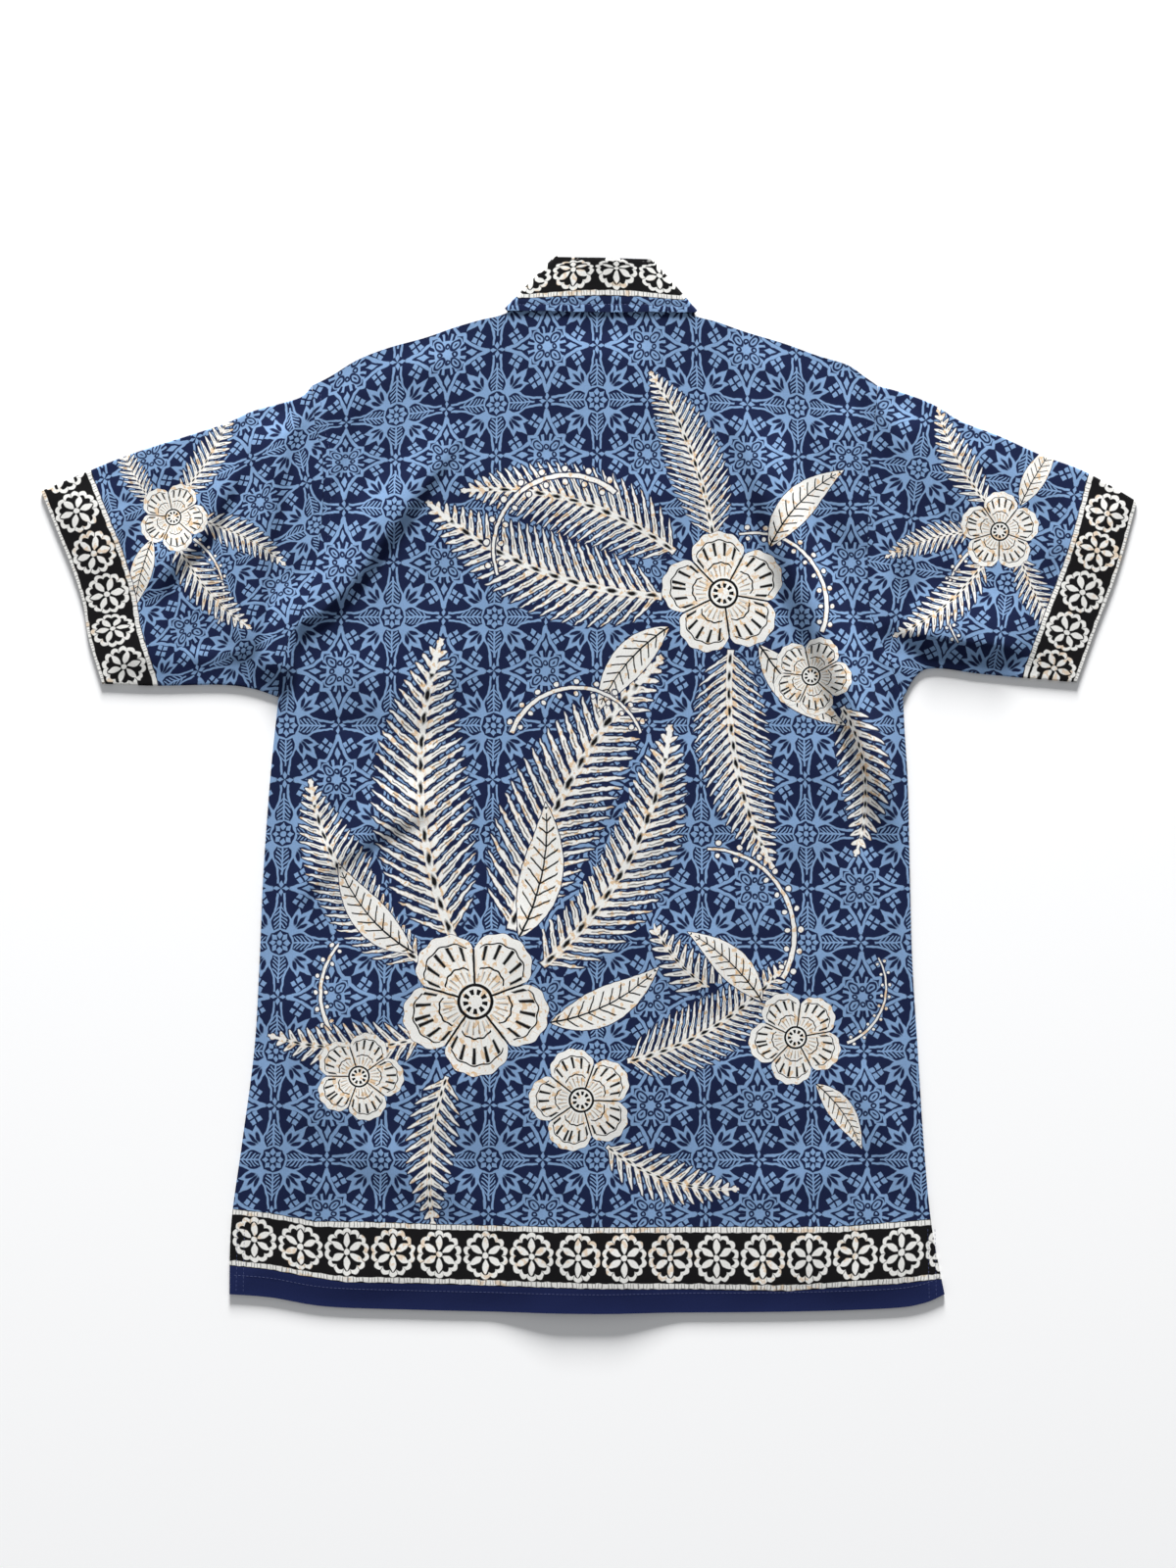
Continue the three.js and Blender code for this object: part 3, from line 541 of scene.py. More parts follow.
def on_top(path, lift, props):
    """A flat path laid on a layer's upper face."""
    return raised(path, lift + HALF + props.thickness / MM / 2)


def beneath(path, lift, props):
    """A flat path laid on a layer's under face."""
    return raised(path, lift + HALF - props.thickness / MM / 2)


def hem_at(x):
    """The back's hem edge at each x."""
    x = np.asarray(x, float)
    return np.stack([x, np.interp(x, hem_line[:, 0], hem_line[:, 1])], axis=-1)


# The hem's points below the ends of the neck
HEM_BREAKS = {"left": BACK_NECK[0][0], "right": BACK_NECK[-1][0]}


def body_edges(which, side_count, armhole_count):
    """A side seam and armhole as one edge, from the hem up."""
    side = spaced(side_rows[which], side_count)
    return np.vstack([side, spaced(armhole_rows[which], armhole_count)[1:]])


def back_grid(side_count, armhole_count, shoulder_count, neck_count):
    """The back's points, rows from the hem up and columns from left to right."""
    left, right = (body_edges(w, side_count, armhole_count) for w in ("left", "right"))
    hem_x = np.concatenate([
        np.linspace(HEM[0][0], HEM_BREAKS["left"], shoulder_count + 1),
        np.linspace(HEM_BREAKS["left"], HEM_BREAKS["right"], neck_count + 1)[1:],
        np.linspace(HEM_BREAKS["right"], HEM[-1][0], shoulder_count + 1)[1:],
    ])
    top = np.vstack([
        spaced(shoulder_rows["left"], shoulder_count),
        spaced(BACK_NECK, neck_count)[1:],
        spaced(shoulder_rows["right"], shoulder_count)[::-1][1:],
    ])
    return patch(hem_at(hem_x), top, left, right)


def front_grid(which, side_count, armhole_count, shoulder_count, neck_count):
    """A front's points, as the back's, and its front edge."""
    left = which == "left"
    outer = body_edges(which, side_count, armhole_count)
    overlap = OVERLAP if left else -OVERLAP
    top = np.array([CENTRE_TOP[0] + overlap, FRONT_NECKS[-1][1]])
    bottom = hem_at(CENTRE_HEM[0] + overlap) + (0, FRONT_HEM_INSET)
    low = np.clip((outer[:, 1] - outer[0, 1]) / (outer[-1, 1] - outer[0, 1]), 0, 1)[:, None]
    inner = bottom * (1 - low) + top * low
    edge_x = HEM[0][0] if left else HEM[-1][0]
    hem_x = np.concatenate([
        np.linspace(edge_x, HEM_BREAKS[which], shoulder_count + 1),
        np.linspace(HEM_BREAKS[which], inner[0, 0], neck_count + 1)[1:],
    ])
    hem = hem_at(hem_x)
    hem[:, 1] += FRONT_HEM_INSET * ramp(0, shoulder_count * 0.3, np.arange(len(hem)))
    upper = np.vstack([
        spaced(shoulder_rows[which], shoulder_count),
        spaced(neck_rows[which], neck_count)[1:],
    ])
    grid = patch(hem, upper, outer, inner)
    return (grid if left else grid[:, ::-1]), inner


# Sleeves: flat tubes, each section a ring of the upper layer, a fold, the lower layer and a fold
EDGE_INSET = STAND_BEND + HALF
TURN_STEPS = np.linspace(0, 1, 8)[1:-1]
# Keeps rounding from closing the gap at the armhole
SEAM_AIR = 0.02


def pulled(a, b, by):
    """A point moved towards another."""
    return a + (b - a) / np.linalg.norm(b - a) * by


def sleeve_sections(which, ring_count, section_count):
    """A sleeve's points in the plane, from the underarm to the upper fold in each section."""
    outward = -1 if which == "left" else 1
    seam = moved(spaced(armhole_rows[which], ring_count), -outward * (GAP + SEAM_AIR))
    seam[0, 0] += outward * GAP
    seam[-1, 0] += outward * GAP
    cuff = spaced(cuff_rows[which], ring_count)[::-1].copy()
    for line in (seam, cuff):
        first, last = pulled(line[0], line[3], EDGE_INSET), pulled(line[-1], line[-4], EDGE_INSET)
        line[:] = resample(np.vstack([first, line[2:-2], last]), ring_count)
    under = spaced(sleeve_under_rows[which], section_count) + (0, EDGE_INSET)
    over = spaced(sleeve_top_rows[which], section_count) - (0, EDGE_INSET)
    under[0], over[0], under[-1], over[-1] = seam[0], seam[-1], cuff[0], cuff[-1]
    return patch(seam, cuff, under, over)


def sleeve_ring(section, lift):
    """A section's upper layer, its two folds and its lower layer, as a ring."""
    upper = raised(section, lift + HALF)
    lower = raised(section, np.full(len(section), HALF))

    def turn(p, inner):
        out = (p[:2] - inner[:2]) / np.linalg.norm(p[:2] - inner[:2])
        radius = (p[2] - HALF) / 2
        angle = TURN_STEPS * math.pi
        reach = radius * np.sin(angle)
        z = HALF + radius * (1 + np.cos(angle))
        return np.stack([p[0] + out[0] * reach, p[1] + out[1] * reach, z], axis=1)

    return np.vstack([
        upper, turn(upper[-1], upper[-2]), lower[::-1], turn(upper[0], upper[1])[::-1],
    ])


# Collar: a section runs from the fold line outwards or down
UP = np.array([0.0, 0.0, 1.0])
BEND_Z = (HALF + FALL_BACK_Z) / 2
NECK_GAP = GAP + 0.05
NECK_GAP_AT_BEND = GAP * 1.4
STAND_GAP_AT_FOLD = GAP * 2.6


def flat3(p, z):
    """A plane point at a height."""
    return np.array([p[0], p[1], z], float)


def unit(v):
    return v / np.linalg.norm(v)


def bend_axis(which):
    """Where the collar bends down beside the neck: the ends of its fold, edge and seam."""
    left = which == "left"
    fold = np.array(BACK_FOLD[0 if left else 1])
    tip = np.array(BACK_FALL_EDGE[0 if left else -1])
    along = unit(tip - fold)
    shift = np.array([-along[1], along[0]]) * ((1 if left else -1) * (FALL_BEND + HALF))
    axis = fold + shift + along * (ROLL_AT_SIDES / 2 + HALF)
    neck = neck_rows[which][0]
    neck = neck + unit(axis - neck) * NECK_GAP_AT_BEND
    return axis, tip + shift, neck


def front_collar_rows(which, count):
    """Fold, edge, seam, facing and roll along a leaf, which lies beneath its front."""
    axis, axis_tip, axis_neck = bend_axis(which)
    folds = spaced(rows_of(FRONT_FOLDS)[which], count)
    tips = spaced(rows_of(FRONT_LEAF_EDGES)[which], count)
    fold_shift, tip_shift = axis - folds[0], axis_tip - tips[0]
    seam = spaced(neck_rows[which], count * 6 // 5)
    seam = moved(seam, (1 if which == "left" else -1) * NECK_GAP)
    lift = left_front_lift if which == "left" else right_front_lift
    neck_z = lift(seam) + HALF
    rows = []
    for i in range(count + 1):
        t = i / count
        neck = flat3(axis_neck, STEP + HALF) if i == 0 else flat3(seam[i], neck_z[i])
        rows.append((
            flat3(folds[i] + fold_shift * (1 - t), HALF), flat3(tips[i] + tip_shift * (1 - t), HALF),
            neck, -UP, ROLL_AT_SIDES,
        ))
    return rows


def bend_collar_rows(which, count):
    """The same round the bend beside the neck."""
    axis, tip, neck = bend_axis(which)
    way = 1 if which == "left" else -1

    def turn_out(v):
        return np.array([way * v[1], -way * v[0], 0.0])

    out, stand_out = turn_out(unit(tip - axis)), turn_out(unit(neck - axis))
    rows = []
    for k in range(1, count):
        angle = k / count * math.pi
        normal = out * math.sin(angle) - UP * math.cos(angle)
        stand = stand_out * math.sin(angle) - UP * math.cos(angle)
        rows.append((
            flat3(axis, BEND_Z) + normal * FALL_BEND, flat3(tip, BEND_Z) + normal * FALL_BEND,
            flat3(neck, BEND_Z) + stand * STAND_BEND, normal, ROLL_AT_SIDES,
        ))
    return rows


def back_collar_rows(count):
    """The same along the back, from left to right."""
    left, right = bend_axis("left"), bend_axis("right")
    tips = spaced(BACK_FALL_EDGE, count)
    necks = moved(spaced(BACK_NECK, count), NECK_GAP)
    rows = []
    for i in range(count + 1):
        t = i / count
        roll = ROLL_AT_SIDES + (ROLL_AT_BACK - ROLL_AT_SIDES) * math.sin(math.pi * t) ** 2
        fold = left[0] * (1 - t) + right[0] * t + (0, (ROLL_AT_SIDES - roll) / 2)
        tip = tips[i] + (left[1] - tips[0]) * np.clip(1 - t * 4, 0, 1)
        tip = tip + (right[1] - tips[-1]) * np.clip(t * 4 - 3, 0, 1)
        neck = left[2] if i == 0 else right[2] if i == count else necks[i]
        rows.append((
            flat3(fold, FALL_BACK_Z + roll - ROLL_AT_SIDES), flat3(tip, FALL_BACK_Z),
            flat3(neck, STAND_BACK_Z), UP, roll,
        ))
    return rows


def collar_rows(leaf, bend, back):
    return [
        *front_collar_rows("left", leaf)[::-1], *bend_collar_rows("left", bend),
        *back_collar_rows(back), *bend_collar_rows("right", bend)[::-1],
        *front_collar_rows("right", leaf),
    ]


def fall_section(row, face_count, roll_count):
    """The fall from its edge to the fold, and its roll."""
    fold, tip, _, normal, roll = row
    t = np.linspace(0, 1, face_count)[:, None]
    face = tip * (1 - t) + fold * t
    face[:, 2] = tip[2] + (fold[2] - tip[2]) * t[:, 0] ** 2
    along = unit((tip - fold) * (1, 1, 0))
    angle = (np.linspace(0, 1, roll_count + 1)[1:] * math.pi)[:, None]
    turned = fold - normal * (roll / 2) * (1 - np.cos(angle)) - along * (roll / 2) * np.sin(angle)
    return np.vstack([face, turned])


def stand_section(row, count):
    """The stand from the fold to the neck seam."""
    fold, _, neck, normal, roll = row
    top = fold - normal * roll
    top = top + unit(neck - top) * STAND_GAP_AT_FOLD
    t = np.linspace(0, 1, count)[:, None]
    return top * (1 - t) + neck * t


# Where the print lies on each piece, in repeats of the lattice and in the border

# The body's lattice: its middle column and top row, its repeats, how much wider they grow
# down to the hem, and how the rows droop towards the shoulders
LATTICE_X = 6.1
LATTICE_Y = 297.9
LATTICE_ACROSS = 77.5
LATTICE_DOWN = 84.06
LATTICE_WIDENS = 6.1
WIDENS_FROM = 298.3
WIDENS_OVER = 589.8
DROOP_LEFT = 12.9
DROOP_RIGHT = 5.7
DROOP_REACH = 155
DROOP_OVER = 76


def body_lattice(p):
    """Columns and rows of the lattice, which droops towards the shoulders."""
    x, y = p[..., 0], p[..., 1]
    lower = WIDENS_FROM - y
    across = (x - LATTICE_X) / (LATTICE_ACROSS + LATTICE_WIDENS * lower / WIDENS_OVER)
    reach = ((x - LATTICE_X) / DROOP_REACH) ** 2
    droop = np.where(x < LATTICE_X, DROOP_LEFT, DROOP_RIGHT) * reach
    droop = droop * (1 - smooth(lower / DROOP_OVER))
    return np.stack([across, (LATTICE_Y - y - droop) / LATTICE_DOWN], axis=-1)


# A crossing of the lattice on each sleeve, and the steps to its neighbours
SLEEVE_REPEATS = {
    "left": ((-282.4, 169.6), (70.8, 31.4), (14.8, -65.9)),
    "right": ((243.4, 168.8), (80.7, -13.1), (-11.6, -75.7)),
}


def sleeve_lattice(p, which):
    """Columns and rows of the lattice on a sleeve."""
    node, a, b = (np.array(v) for v in SLEEVE_REPEATS[which])
    return (p[..., :2] - node) @ np.linalg.inv(np.stack([a, b]))


# The hem border's two beaded lines: x, upper y and x, lower y
HEM_BEAD_UPPER = (
    (-277, -331.0), (-247, -334.0), (-212, -340.5), (-169, -340.9), (-111, -343.1), (-1, -345.0),
    (154, -345.0), (193, -344.7), (232, -341.6), (264, -339.3),
)
HEM_BEAD_LOWER = (
    (-277, -370.5), (-247, -373.5), (-223, -378.1), (-189, -383.1), (-130, -384.2), (-1, -388.0),
    (77, -388.7), (154, -389.9), (193, -387.2), (232, -384.9), (271, -381.1),
)
# The border's width between its beaded lines, in its own measure
BAND = 43
ROSETTE_PITCH = 35.8
FIRST_ROSETTE_X = -259.2


def hem_border(p):
    """Rosettes along the hem, and the place across the border, downwards."""
    x, y = p[..., 0], p[..., 1]
    upper = np.interp(x, *np.array(HEM_BEAD_UPPER).T)
    lower = np.interp(x, *np.array(HEM_BEAD_LOWER).T)
    across = (x - FIRST_ROSETTE_X) / ROSETTE_PITCH
    return np.stack([across, BAND * (upper - y) / (upper - lower)], axis=-1)


# The cuffs' border is narrower, and its outer beads lie on the edge
CUFF_BAND = 39
CUFF_BEAD_INSET = 0.5
CUFF_ROSETTES = {
    "left": ((-399.4, 210.9), (-384.9, 178.2), (-372.4, 147.4), (-367.5, 121.2), (-361.5, 90.8)),
    "right": ((403.2, 209.4), (394.4, 181.3), (380.8, 149.3), (370.9, 117.4), (358.7, 90.8)),
}


def cuff_border(p, which):
    """Rosettes down a cuff, and the place across the border, outwards."""
    edge = spline(cuff_rows[which])
    ends = np.vstack([edge[0] * 2 - edge[6], edge, edge[-1] * 2 - edge[-7]])
    edge = resample(ends, 60)
    length = arc(edge)[-1]
    away, along, _ = path_distance(p[..., :2], edge)
    centre_at = path_distance(np.array(CUFF_ROSETTES[which]), edge)[1] * length
    pitch = np.diff(centre_at).mean()
    at = along * length
    u = np.interp(at, centre_at, np.arange(len(centre_at)))
    u = np.where(at < centre_at[0], (at - centre_at[0]) / pitch, u)
    u = np.where(at > centre_at[-1], len(centre_at) - 1 + (at - centre_at[-1]) / pitch, u)
    return np.stack([u, BAND + CUFF_BEAD_INSET - away * BAND / CUFF_BAND], axis=-1)


# Leaves and flowers over the lattice: kind, x, y, heading, length, bend, all in mm and degrees.
# A blossom's length is its radius. Earlier ones lie over later ones.
FROND, LEAF, BLOSSOM, TENDRIL = 1, 2, 3, 4
BACK_MOTIFS = (
    (BLOSSOM, -88, -168, 20, 60, 0), (BLOSSOM, -6, -244, 70, 42, 0), (BLOSSOM, -178, -226, 35, 36, 0),
    (BLOSSOM, 104, 148, -10, 50, 0), (BLOSSOM, 172, 84, 30, 32, 0), (BLOSSOM, 160, -196, 10, 38, 0),
    (LEAF, -54, -118, 62, 108, 34), (LEAF, -136, -130, 150, 92, -40), (LEAF, -30, -184, 8, 96, 38),
    (LEAF, 140, 184, 66, 84, -40), (LEAF, 62, 122, 212, 88, 36), (LEAF, 132, 108, -58, 92, 30),
    (LEAF, 134, -168, 122, 80, 30), (LEAF, 176, -232, -40, 62, -30),
    (FROND, -106, -118, 112, 236, -40), (FROND, -60, -112, 76, 244, -30),
    (FROND, -132, -136, 144, 168, -46), (FROND, -36, -140, 40, 216, 44),
    (FROND, 30, -214, 12, 150, 40), (FROND, -130, -196, 196, 120, -34),
    (FROND, -110, -226, 250, 120, 30), (FROND, 14, -280, -40, 110, 44),
    (FROND, 96, 192, 98, 138, 26), (FROND, 66, 180, 142, 176, 44), (FROND, 56, 146, 178, 200, -40),
    (FROND, 110, 104, -96, 176, 34), (FROND, 196, 60, -60, 120, -50), (FROND, 128, -174, 164, 110, -50),
    (TENDRIL, 20, 226, 140, 150, 150), (TENDRIL, -60, 40, 70, 130, -140),
    (TENDRIL, 150, -150, 60, 140, 120), (TENDRIL, 200, -200, 20, 80, 100),
    (TENDRIL, -200, -190, 120, 110, -110), (TENDRIL, 180, 118, 70, 120, 120),
)
SLEEVE_MOTIFS = {
    "left": (
        (BLOSSOM, -322, 207, 30, 28, 0), (FROND, -316, 224, 48, 78, 24), (FROND, -302, 204, -12, 76, -30),
        (FROND, -318, 186, -66, 88, 34), (LEAF, -338, 190, -112, 56, 14), (FROND, -338, 218, 128, 58, -20),
        (TENDRIL, -306, 190, -34, 74, -80),
    ),
    "right": (
        (BLOSSOM, 318, 196, -20, 32, 0), (FROND, 308, 218, 130, 84, -26), (FROND, 296, 196, 184, 70, 26),
        (FROND, 306, 172, 236, 92, -34), (FROND, 334, 176, 286, 74, 26), (LEAF, 334, 216, 66, 58, -14),
        (TENDRIL, 300, 184, 214, 84, 90),
    ),
}
CHARTS = ("Motif upper", "Motif middle", "Motif lower")
# Half widths and forms of the fronds and leaves, as shares of their length
FROND_WIDTH = 0.165
FROND_SKEW = 0.75
FROND_FULLNESS = 0.7
LEAF_WIDTH = 0.15
LEAF_SKEW = 0.85
TENDRIL_WIDTH = 0.07
# Leaflets and dots along a frond, and berries along a tendril
LEAFLETS = 25
STEM_DOTS = 13
BERRIES = 9
# A frond shorter than this has fewer leaflets, and the mark on its chart says so
SHORT_FROND = 130
SHORT_LEAFLETS = 14
SHORT_MARK = 3
# The chart holds ten times the motif's kind and the place along it
KIND_STEP = 10
# A motif's path has these steps, and more before and after it, so that its ends are drawn whole
CHART_STEPS = 48
STEPS_BEFORE = 5
STEPS_AFTER = 6
CHART_MARGIN = 0.022


def envelope(kind, s):
    """Half width of a motif at each place along it, as a share of its length."""
    s = np.clip(s, 0, 1)
    if kind == FROND:
        return FROND_WIDTH * np.sin(math.pi * s**FROND_SKEW) ** FROND_FULLNESS
    if kind == LEAF:
        return LEAF_WIDTH * np.sin(math.pi * s**LEAF_SKEW)
    return np.full_like(s, TENDRIL_WIDTH)


def motif_chart(p, motif):
    """Each point's place along and across a motif, and whether the motif reaches it."""
    kind, x, y, heading, length, bend = motif
    if kind == BLOSSOM:
        turn = math.radians(heading)
        off = (p[..., :2] - (x, y)) / length
        s = off[..., 0] * math.cos(turn) + off[..., 1] * math.sin(turn)
        t = off[..., 1] * math.cos(turn) - off[..., 0] * math.sin(turn)
        return s, t, np.hypot(s, t) < 1.04
    k = np.linspace(0, 1, CHART_STEPS + 1)
    angle = np.radians(heading + bend * k)
    step = np.stack([np.cos(angle), np.sin(angle)], axis=1) * length / CHART_STEPS
    path = np.vstack([[0, 0], np.cumsum((step[1:] + step[:-1]) / 2, axis=0)]) + (x, y)
    path = np.vstack([path[0] - step[0] * STEPS_BEFORE, path, path[-1] + step[-1] * STEPS_AFTER])
    stops = np.r_[-STEPS_BEFORE, np.arange(CHART_STEPS + 1), CHART_STEPS + STEPS_AFTER] / CHART_STEPS
    away, along, side = path_distance(p[..., :2], path)
    at = np.interp(along * (len(path) - 1), np.arange(len(path)), stops)
    t = side * away / length
    reached = (np.abs(t) < envelope(kind, at) + CHART_MARGIN) & (at > -0.04) & (at < 1.05)
    return at, t, reached


def motif_charts(p, motifs):
    """The charts of each layer: a list of (values at the points, faces they hold for)."""
    shape = (p.shape[0] - 1, p.shape[1])
    taken = [np.zeros(shape, bool) for _ in CHARTS]
    charts = [[] for _ in CHARTS]
    for motif in motifs:
        s, t, reached = motif_chart(p, motif)
        ahead = np.roll(reached, -1, axis=1)
        faces = reached[:-1] | reached[1:] | ahead[:-1] | ahead[1:]
        free = [k for k, faces_taken in enumerate(taken) if not (faces_taken & faces).any()]
        layer = free[0] if free else len(CHARTS) - 1
        faces &= ~taken[layer]
        taken[layer] |= faces
        short = motif[0] == FROND and motif[4] < SHORT_FROND
        values = np.stack([motif[0] * KIND_STEP + s + short * SHORT_MARK, t], axis=-1)
        charts[layer].append((values, faces))
    return dict(zip(CHARTS, charts))


# Numbers in a node tree, so that a print can be written as formulas

class Num:
    """A value in a node tree. Sums and products of it add Math nodes."""

    def __init__(self, tree, socket):
        self.tree = tree
        self.socket = socket

    def node(self, operation, *others, clamp=False):
        n = self.tree.nodes.new("ShaderNodeMath")
        n.operation = operation
        n.use_clamp = clamp
        for value, socket in zip((self, *others), n.inputs):
            if isinstance(value, Num):
                self.tree.links.new(value.socket, socket)
            else:
                socket.default_value = value
        return Num(self.tree, n.outputs[0])

    def swapped(self, operation, first):
        n = self.tree.nodes.new("ShaderNodeMath")
        n.operation = operation
        n.inputs[0].default_value = first
        self.tree.links.new(self.socket, n.inputs[1])
        return Num(self.tree, n.outputs[0])

    def __add__(self, other):
        return self.node("ADD", other)

    def __sub__(self, other):
        return self.node("SUBTRACT", other)

    def __mul__(self, other):
        return self.node("MULTIPLY", other)

    def __truediv__(self, other):
        return self.node("DIVIDE", other)

    def __rsub__(self, other):
        return self.swapped("SUBTRACT", other)

    def __neg__(self):
        return 0.0 - self

    __radd__ = __add__
    __rmul__ = __mul__


def low(a, b, *more):
    """The union of shapes: the lowest value."""
    result = a.node("MINIMUM", b)
    for c in more:
        result = result.node("MINIMUM", c)
    return result


def high(a, b, *more):
    """Where shapes overlap: the highest value."""
    result = a.node("MAXIMUM", b)
    for c in more:
        result = result.node("MAXIMUM", c)
    return result


def without(a, cut):
    """The shape with another one cut out of it."""
    return high(a, -cut)


def size_of(a):
    return a.node("ABSOLUTE")


def root(a):
    return a.node("SQRT")


def sine(a):
    return a.node("SINE")


def cosine(a):
    return a.node("COSINE")


def power(a, exponent):
    return a.node("POWER", exponent)


def part(a):
    return a.node("FRACT")


def whole(a):
    return a.node("ROUND")


def angle_of(y, x):
    return y.node("ARCTAN2", x)


def unlike(a, number):
    """0 where a is about the number and 9 elsewhere."""
    return size_of(a - number).node("GREATER_THAN", 0.5) * 9


# Shapes, below zero inside

def dot(x, y, cx, cy, r):
    x, y = x - cx, y - cy
    return root(x * x + y * y) - r


def shares(x, y, cx, cy, a, b, turn):
    """Place in a shape with half axes a and b, as shares of them."""
    c, s = math.cos(turn), math.sin(turn)
    u = (x - cx) * (c / a) + (y - cy) * (s / a)
    v = (y - cy) * (c / b) - (x - cx) * (s / b)
    return u, v


def oval(x, y, cx, cy, a, b, turn=0.0):
    u, v = shares(x, y, cx, cy, a, b, turn)
    return (root(u * u + v * v) - 1) * min(a, b)


def lozenge(x, y, cx, cy, a, b):
    u, v = shares(x, y, cx, cy, a, b, 0.0)
    return (size_of(u) + size_of(v) - 1) * min(a, b)


# Share of a step along x or y that goes along a diagonal
DIAGONAL = math.sqrt(0.5)
# The lattice's two kinds of line, as half widths in repeats, and the medallion's radius
VASE_LINE = 0.0105
FRAME_LINE = 0.0150
FRAME_RADIUS = 0.503


def lattice_print(a, b):
    """The repeat of the lattice: light where below zero, in repeats."""
    a, b = size_of(a - whole(a)), size_of(b - whole(b))
    x, y = high(a, b), low(a, b)
    s, t = (x + y) * DIAGONAL, (x - y) * DIAGONAL
    ex, ey = 0.5 - x, 0.5 - y
    r = root(x * x + y * y)
    # Vase line about each arm, on the mass round the middle flower
    k = (x - 0.185) * 8.3
    spread = k * k + 1.0
    rim = y - (power(spread, -2) * 0.068 + 0.032)
    light = low(high(size_of(rim) - VASE_LINE, x - 0.455, 0.130 - r), r - 0.150)
    # Tulip on the diagonal: a crown with a tip
    crown = high(t - 0.072 - (s - 0.16) * 0.18, s - 0.302 - t * 0.45, 0.13 - s)
    tip = high(t - (0.436 - s) * 0.40, 0.26 - s)
    light = low(light, crown, tip)
    strokes = low(
        oval(s, t, 0.272, 0.0, 0.066, 0.0165),
        oval(s, t, 0.252, 0.043, 0.050, 0.0185, 0.50),
    )
    light = without(light, strokes)
    # Dark inside the vase line, with a barbed pod
    light = without(light, high(rim + VASE_LINE, 0.132 - r))
    comb = sine((x + y * 0.9) * 165.0) * 0.012 + 0.0035
    barbs = high(dot(x, y, 0.205, -0.118, 0.184), comb, 0.142 - r)
    light = low(light, barbs, high(y - 0.008, x - 0.372, 0.12 - x))
    # Flower in the middle
    petals = [lozenge(along, across, 0.070, 0.0, 0.034, 0.027) for along, across in ((x, y), (s, t))]
    one, other = x + y * 0.414, s + t * 0.414
    star = high(one, other) * 0.85 + low(one, other) * 0.12 - 0.116
    light = without(light, high(without(star, low(*petals)), 0.025 - r))
    # Four small squares
    u = size_of((x - 0.386) * 0.98 - (y - 0.186) * 0.2)
    v = size_of((y - 0.186) * 0.98 + (x - 0.386) * 0.2)
    light = low(light, size_of(high(u, v) - 0.044) + low(u, v) - 0.031)
    # Medallion frame
    frame_line = high(size_of(r - FRAME_RADIUS) - FRAME_LINE, y - 0.326, 0.09 - y)
    ledge = high(size_of(y - 0.328) - 0.0145, size_of(x - 0.362) - 0.042)
    edge = high(ex - 0.015, 0.078 - y, y - 0.15)
    light = low(light, frame_line, ledge, edge)
    # Cross at the middle of each edge
    arms = lozenge(ex, y, 0.040, 0.0, 0.036, 0.021), lozenge(ex, y, 0.0, 0.044, 0.019, 0.036)
    light = low(light, *arms)
    # Star, rays and rhomb in the medallion
    es, et = (ex + ey) * DIAGONAL, size_of(ex - ey) * DIAGONAL
    er = root(ex * ex + ey * ey)
    star = low(er - 0.136, oval(es, et, 0.134, 0.0, 0.062, 0.050))
    fan = sine(ex / (ey + 0.001) * 19.0) * 0.014 + 0.001
    rays = high(fan, er - 0.192, ex - ey * 0.66)
    cut = high(-fan, 0.128 - ey, ex - ey * 0.42)
    medal = low(without(star, cut), rays, lozenge(ex, ey, 0.0, 0.240, 0.030, 0.062))
    lines = low(
        size_of(oval(es, et, 0.114, 0.0, 0.056, 0.034)) - 0.0075,
        oval(es, et, 0.114, 0.0, 0.024, 0.0085),
        size_of(dot(ex, ey, 0.0, 0.074, 0.019)) - 0.0085,
    )
    return low(light, without(medal, lines))


# A rosette's petals, eye and scalloped ring and the beads beside it, in millimetres
PETAL_MIDDLE = 8.2
PETAL_HALF_WIDTH = 2.45
EYE_RADIUS = 2.3
RING_RADIUS = 13.9
RING_SCALLOP = 1.9
RING_HALF_WIDTH = 1.6
BEAD_HALF_HEIGHT = 1.9


def border_print(u, w):
    """Rosettes between two beaded lines: light where below zero, in millimetres."""
    x = (u - whole(u)) * ROSETTE_PITCH
    y = w - BAND / 2
    tall = y * 0.91
    r = root(x * x + tall * tall)
    turn = angle_of(tall, x)
    # Six petals: the angle is folded into one of them
    fold = (part(turn * (3 / math.pi)) - 0.5) * (math.pi / 3)
    along, across = r * cosine(fold) - PETAL_MIDDLE, size_of(r * sine(fold))
    petal = across - PETAL_HALF_WIDTH + along * along * 0.080
    scallop = size_of(sine(turn * 7.0))
    crack = sine(turn * 3.0 + u * 5.0) * 0.14 + 0.04 - scallop * 1.6
    ring = high(size_of(r - RING_RADIUS - scallop * RING_SCALLOP) - RING_HALF_WIDTH, crack)
    # Beads of uneven length
    line = size_of(size_of(y) - BAND / 2) - BEAD_HALF_HEIGHT
    crack = 0.22 - size_of(sine(u * 37.0 + sine(u * 17.0) + y * 0.02))
    return low(ring, petal, r - EYE_RADIUS, high(line, crack))


